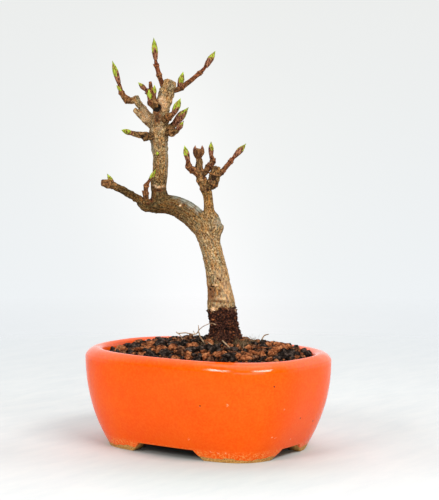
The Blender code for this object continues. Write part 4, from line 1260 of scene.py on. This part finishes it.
def ground(x, y):
    """Height of the mounded soil between its coarse grains."""
    return SOIL_EDGE + SOIL_RISE * (1 - min(mouth_share(x, y), 1.0) ** SOIL_CURVE) + SOIL_TILT * x


def from_seat(x, y):
    """Distance from the middle of the trunk's foot."""
    seat = world(*TRUNK[0][:3])
    return math.hypot(x - seat.x, y - seat.y)


def coarse_grains():
    """Throws grains on the soil, the largest first, and keeps each that finds room: x, y, radius."""
    chance = random.Random(GRAIN_SEED)
    big, small = GRAIN_SIZES
    kept = []
    for _ in range(GRAIN_THROWS):
        radius = big - (big - small) * len(kept) / GRAIN_COUNT
        x = chance.uniform(-RIM_HALF[0], RIM_HALF[0])
        y = chance.uniform(-RIM_HALF[1], RIM_HALF[1])
        edge = 1 - radius / RIM_HALF[1]
        free = all(math.hypot(x - other[0], y - other[1]) > GRAIN_CROWD * (radius + other[2]) for other in kept)
        if free and mouth_share(x, y) < edge and from_seat(x, y) > SEAT_RADIUS and len(kept) < GRAIN_COUNT:
            kept.append((x, y, radius))
    return kept


def make_soil():
    """The dark fines that fill the pot under the grains."""
    plans = [(wall_plan(SOIL_LOW, WALL + SOIL_GAP, MOUTH_POWER), SOIL_LOW)]
    half, power = wall_plan(TURN_UP, WALL, MOUTH_POWER)
    for step in range(SOIL_RINGS):
        share = 1 - step / SOIL_RINGS
        plans.append((([size * share for size in half], power), SOIL_LID + share))
    bm = shell(plans, SOIL_SIDES)
    for vert in bm.verts:
        if vert.co.z > SOIL_LOW + 1.0:
            rough = 0.55 * noise.noise(vert.co / 1.7) + 0.4 * noise.noise(vert.co / 0.8)
            vert.co.z = ground(vert.co.x, vert.co.y) - SOIL_SINK + rough
    finished(loose(bm, "soil_bed"), lava_finish("soil_fines"), "soil", "soil")


def scatter(chance, taken, count, small, big, crowd):
    """Throws small grains between the coarse ones, largest first, and keeps those that find room."""
    kept = []
    for _ in range(count * 12):
        radius = big - (big - small) * len(kept) / count
        x = chance.uniform(-RIM_HALF[0], RIM_HALF[0])
        y = chance.uniform(-RIM_HALF[1], RIM_HALF[1])
        inside = mouth_share(x, y) < 1 - radius / RIM_HALF[1] and from_seat(x, y) > FLARE_REACH + radius * 0.3
        if len(kept) == count or not inside:
            continue
        known = np.array(taken)
        if np.any(np.hypot(known[:, 0] - x, known[:, 1] - y) < crowd * (known[:, 2] + radius)):
            continue
        taken.append((x, y, radius))
        kept.append((x, y, radius))
    return kept


def grain(bm, chance, x, y, up, radius, detail):
    """One broken lump of grit: a ball with random flats knocked off it, pitted, wider than high."""
    turn = Matrix.Rotation(chance.uniform(0, math.tau), 4, "Z")
    turn = turn @ Matrix.Rotation(chance.uniform(-0.6, 0.6), 4, "X")
    flat = Matrix.Diagonal((chance.uniform(1.05, 1.45), chance.uniform(0.75, 1.0), chance.uniform(0.5, 0.9), 1.0))
    flats = []
    for _ in range(GRAIN_FLATS):
        way = Vector((chance.gauss(0, 1), chance.gauss(0, 1), chance.gauss(0, 1))).normalized()
        flats.append(way / chance.uniform(0.5, 0.8))
    seed = Vector((chance.uniform(0, 90), chance.uniform(0, 90), 0.0))
    for vert in bmesh.ops.create_icosphere(bm, subdivisions=detail, radius=1.0)["verts"]:
        way = vert.co.normalized()
        reach = 1 / max(max(way.dot(face) for face in flats), 0.85)
        reach *= 1 + 0.3 * noise.noise(way * 2.3 + seed) + 0.2 * noise.noise(way * 5.0 + seed)
        vert.co = turn @ (flat @ (way * reach * radius)) + Vector((x, y, up))


def make_grit():
    """Black, rust and brown lava grit over the soil: coarse grains, smaller ones and crumbs between them."""
    chance = random.Random(GRIT_SEED)
    heaps = {kind: bmesh.new() for kind in GRIT_KINDS}
    spots = []
    for kind, places in (("black", BLACK_SPOTS), ("rust", RUST_SPOTS)):
        for across, away, radius in places:
            x, y, _ = world(across, away, 0.0)
            spots.append((x, y, kind))
            grain(heaps[kind], chance, x, y, ground(x, y) + radius * 0.35, radius, 3)
    taken = coarse_grains()
    coarse = list(taken)
    for x, y, radius in coarse:
        near = min(spots, key=lambda spot: math.hypot(spot[0] - x, spot[1] - y))
        kind = chance.choices(GRIT_KINDS, COARSE_SHARES)[0]
        if math.hypot(near[0] - x, near[1] - y) < SPOT_REACH:
            kind = near[2]
        grain(heaps[kind], chance, x, y, ground(x, y) + radius * GRAIN_LIFT, radius * 0.98, 2)
    for count, small, big, crowd, lift in FINE_GRIT:
        for x, y, radius in scatter(chance, taken, count, small, big, crowd):
            kind = chance.choices(GRIT_KINDS, FINE_SHARES)[0]
            up = ground(x, y) + radius * lift + chance.uniform(-0.4, 0.3)
            grain(heaps[kind], chance, x, y, up, radius, 1)
    for _ in range(TOP_CRUMBS):
        x, y, radius = chance.choice(coarse)
        turn = chance.uniform(0, math.tau)
        out = radius * chance.uniform(0.3, 0.9)
        high = ground(x, y) + radius * (GRAIN_LIFT + 0.72) - out * 0.35
        kind = chance.choices(GRIT_KINDS, TOP_SHARES)[0]
        x += out * math.cos(turn)
        y += out * math.sin(turn)
        grain(heaps[kind], chance, x, y, high, chance.uniform(0.25, 0.5), 1)
    for kind, heap in heaps.items():
        finished(loose(heap, "grit_" + kind), lava_finish("grit_" + kind), "soil")


def fibre(bm, chance, start, heading, length, thick):
    """One thin fibre that wanders and thins as it goes."""
    centre = start.copy()
    curve = [(centre.copy(), thick / 2)]
    for step in range(FIBRE_STEPS):
        waver = Vector([chance.uniform(-FIBRE_BEND, FIBRE_BEND) for _ in range(3)])
        heading = (heading + waver + Vector((0.0, 0.0, -FIBRE_SAG))).normalized()
        centre = centre + heading * length / FIBRE_STEPS
        curve.append((centre.copy(), thick / 2 * (1 - 0.16 * (step + 1))))
    sweep(bm, walk(curve), FIBRE_SIDES)


def make_fibres():
    """Dry roots beside the trunk, and patches of dead moss in which every seventh fibre is root."""
    roots = bmesh.new()
    for stations in ROOTS:
        sweep(roots, walk(smooth_curve(stations, ROOT_STEPS)), ROOT_SIDES)
    chance = random.Random(FIBRE_SEED)
    moss = bmesh.new()
    for across, away, reach, count in MOSS:
        for number in range(count):
            x, y, _ = world(across + chance.gauss(0, reach / 2), away + chance.gauss(0, reach / 2), 0.0)
            heading = Vector((chance.uniform(-1, 1), chance.uniform(-1, 1), chance.uniform(0.1, 1.3)))
            heading.normalize()
            start = Vector((x, y, ground(x, y) + 0.6))
            heap = roots if number % 7 == 0 else moss
            fibre(heap, chance, start, heading, chance.uniform(2.5, 5.5), chance.uniform(0.18, 0.32))
    finished(loose(roots, "dry_roots"), fibre_finish("dry_root"), "soil")
    finished(loose(moss, "dead_moss"), fibre_finish("dead_moss"), "soil")


def make_floor():
    """A pale round floor that fades into the backdrop, with painted light and shade: paler further back, darker and
    cooler just in front of the pot, and a painted shadow under it.
    """
    bm = bmesh.new()
    bmesh.ops.create_circle(bm, cap_ends=True, segments=FLOOR_SIDES, radius=FLOOR_RADIUS)
    mesh = bpy.data.meshes.new("floor")
    bm.to_mesh(mesh)
    bm.free()
    floor = bpy.data.objects.new("floor", mesh)
    bpy.context.scene.collection.objects.link(floor)
    f = Finish("pale_floor", 0.6, 0.0)
    spot = f.place()
    far = f.add("VectorMath", {0: spot}, operation="LENGTH").outputs["Value"]
    fade = f.ramp(f.sum("DIVIDE", far, 1000.0), (0.19, 0.0), (0.5, 0.75), (0.8, 1.0))
    clear = f.add("BsdfTransparent", {})
    both = f.add("MixShader", {0: fade, 1: f.shader.outputs[0], 2: clear.outputs[0]})
    f.tree.links.new(both.outputs[0], f.tree.nodes["Material Output"].inputs["Surface"])
    mottle = f.noise(f.stretch(spot, (0.08, 0.022, 1.0)), 1.0, 5.0, 0.7)
    colour = f.ramp(mottle, (0.35, (0.75, 0.775, 0.78)), (0.62, (0.80, 0.815, 0.81)))
    # Painted light: the floor grows paler further back
    back = f.sum("ADD", f.sum("DIVIDE", f.along(spot, tuple(world(0.0, 1.0, 0.0))), 400.0), 0.3)
    tone = f.ramp(back, (0.1, 0.86), (0.26, 0.81), (0.41, 0.88), (0.57, 0.93), (0.76, 1.0))
    colour = f.mix(1.0, colour, tone, "MULTIPLY")
    # Painted shade in front of the pot, cooler where the pot's orange light falls
    front = f.add("VectorMath", {0: spot, 1: tuple(world(5.0, -50.0, 0.0))}, operation="DISTANCE")
    near = f.ramp(f.sum("DIVIDE", front.outputs["Value"], 200.0), (0.12, (0.82, 0.92, 0.91)), (0.4, (1.0, 1.0, 1.0)))
    # Painted shadow under the pot
    under = f.ramp(f.sum("DIVIDE", far, 200.0), (0.12, 0.45), (0.24, 1.0))
    colour = f.mix(1.0, f.mix(1.0, colour, near, "MULTIPLY"), under, "MULTIPLY")
    floor.data.materials.append(f.done(Base_Color=colour))


def soft_light(name, place, aim, size, power, colour):
    """A wide soft light that looks at a point."""
    data = bpy.data.lights.new(name, "AREA")
    data.shape = "RECTANGLE"
    data.size, data.size_y = size
    data.energy = power
    data.color = colour
    light = bpy.data.objects.new(name, data)
    light.location = place
    light.rotation_euler = (Vector(aim) - Vector(place)).to_track_quat("-Z", "Y").to_euler()
    bpy.context.scene.collection.objects.link(light)


def make_surround():
    """A white backdrop with a soft glow behind the tree; as a light it is bright behind and dim in front."""
    surround = bpy.data.worlds.new("white_backdrop")
    bpy.context.scene.world = surround
    n = Nodes(surround)
    way = n.add("TexCoord", {}).outputs["Generated"]
    raised = math.radians(VIEW_FROM[1])
    ahead = world(0.0, math.cos(raised), -math.sin(raised))
    over = world(0.0, math.sin(raised), math.cos(raised))
    depth = n.sum("MAXIMUM", n.along(way, tuple(ahead)), 0.1)
    u = n.sum("DIVIDE", n.along(way, tuple(world(1.0, 0.0, 0.0))), depth)
    v = n.sum("DIVIDE", n.along(way, tuple(over)), depth)
    fall = n.sum("DIVIDE", n.sum("SUBTRACT", BACKDROP_TOP, v), BACKDROP_FALL)
    seen = n.ramp(fall, (0.0, (0.84, 0.853, 0.845)), (1.0, (0.86, 0.896, 0.925)))
    for middle, reach, colour in GLOWS:
        seen = n.mix(n.glow(u, v, middle, reach), seen, colour, "ADD")
    behind = n.sum("ADD", n.along(way, tuple(world(0.0, 1.0, 0.0))), 1.0)
    given = n.ramp(n.sum("DIVIDE", behind, 2.0), (0.35, SURROUND_FRONT), (0.62, SURROUND_BACK))
    straight = n.add("LightPath", {}).outputs["Is Camera Ray"]
    n.give(n.tree.nodes["Background"].inputs["Color"], n.mix(straight, given, seen))


def make_lights():
    """A softbox on each side in front, a wide fill between them, and a softbox above."""
    aim = world(0.0, 0.0, LIGHT_AIM)
    for name, round_by, raised, far, size, power, colour in LIGHTS:
        round_by = math.radians(round_by)
        raised = math.radians(raised)
        flat = far * math.cos(raised) / MM
        place = aim + world(flat * math.sin(round_by), -flat * math.cos(round_by), far * math.sin(raised) / MM)
        soft_light(name, place * MM, aim * MM, size, power, colour)


def make_camera():
    """The camera, at the photograph's place."""
    far, raised, round_by = VIEW_FROM
    raised = math.radians(raised)
    round_by = math.radians(round_by)
    data = bpy.data.cameras.new("camera")
    data.lens = LENS
    data.sensor_width = SENSOR
    data.clip_start = 0.01
    camera = bpy.data.objects.new("camera", data)
    across, up = VIEW_AT
    flat = math.cos(raised)
    back = Vector((math.sin(round_by) * flat, -math.cos(round_by) * flat, math.sin(raised)))
    camera.location = world(across, 0.0, up) * MM + back * far
    camera.rotation_euler = (math.pi / 2 - raised, 0.0, round_by)
    bpy.context.scene.collection.objects.link(camera)
    bpy.context.scene.camera = camera


make_camera()
make_pot()
make_soil()
make_grit()
make_fibres()
make_bark()
make_twigs()
make_buds()
make_floor()
make_surround()
make_lights()
bpy.context.scene.view_settings.view_transform = "Standard"
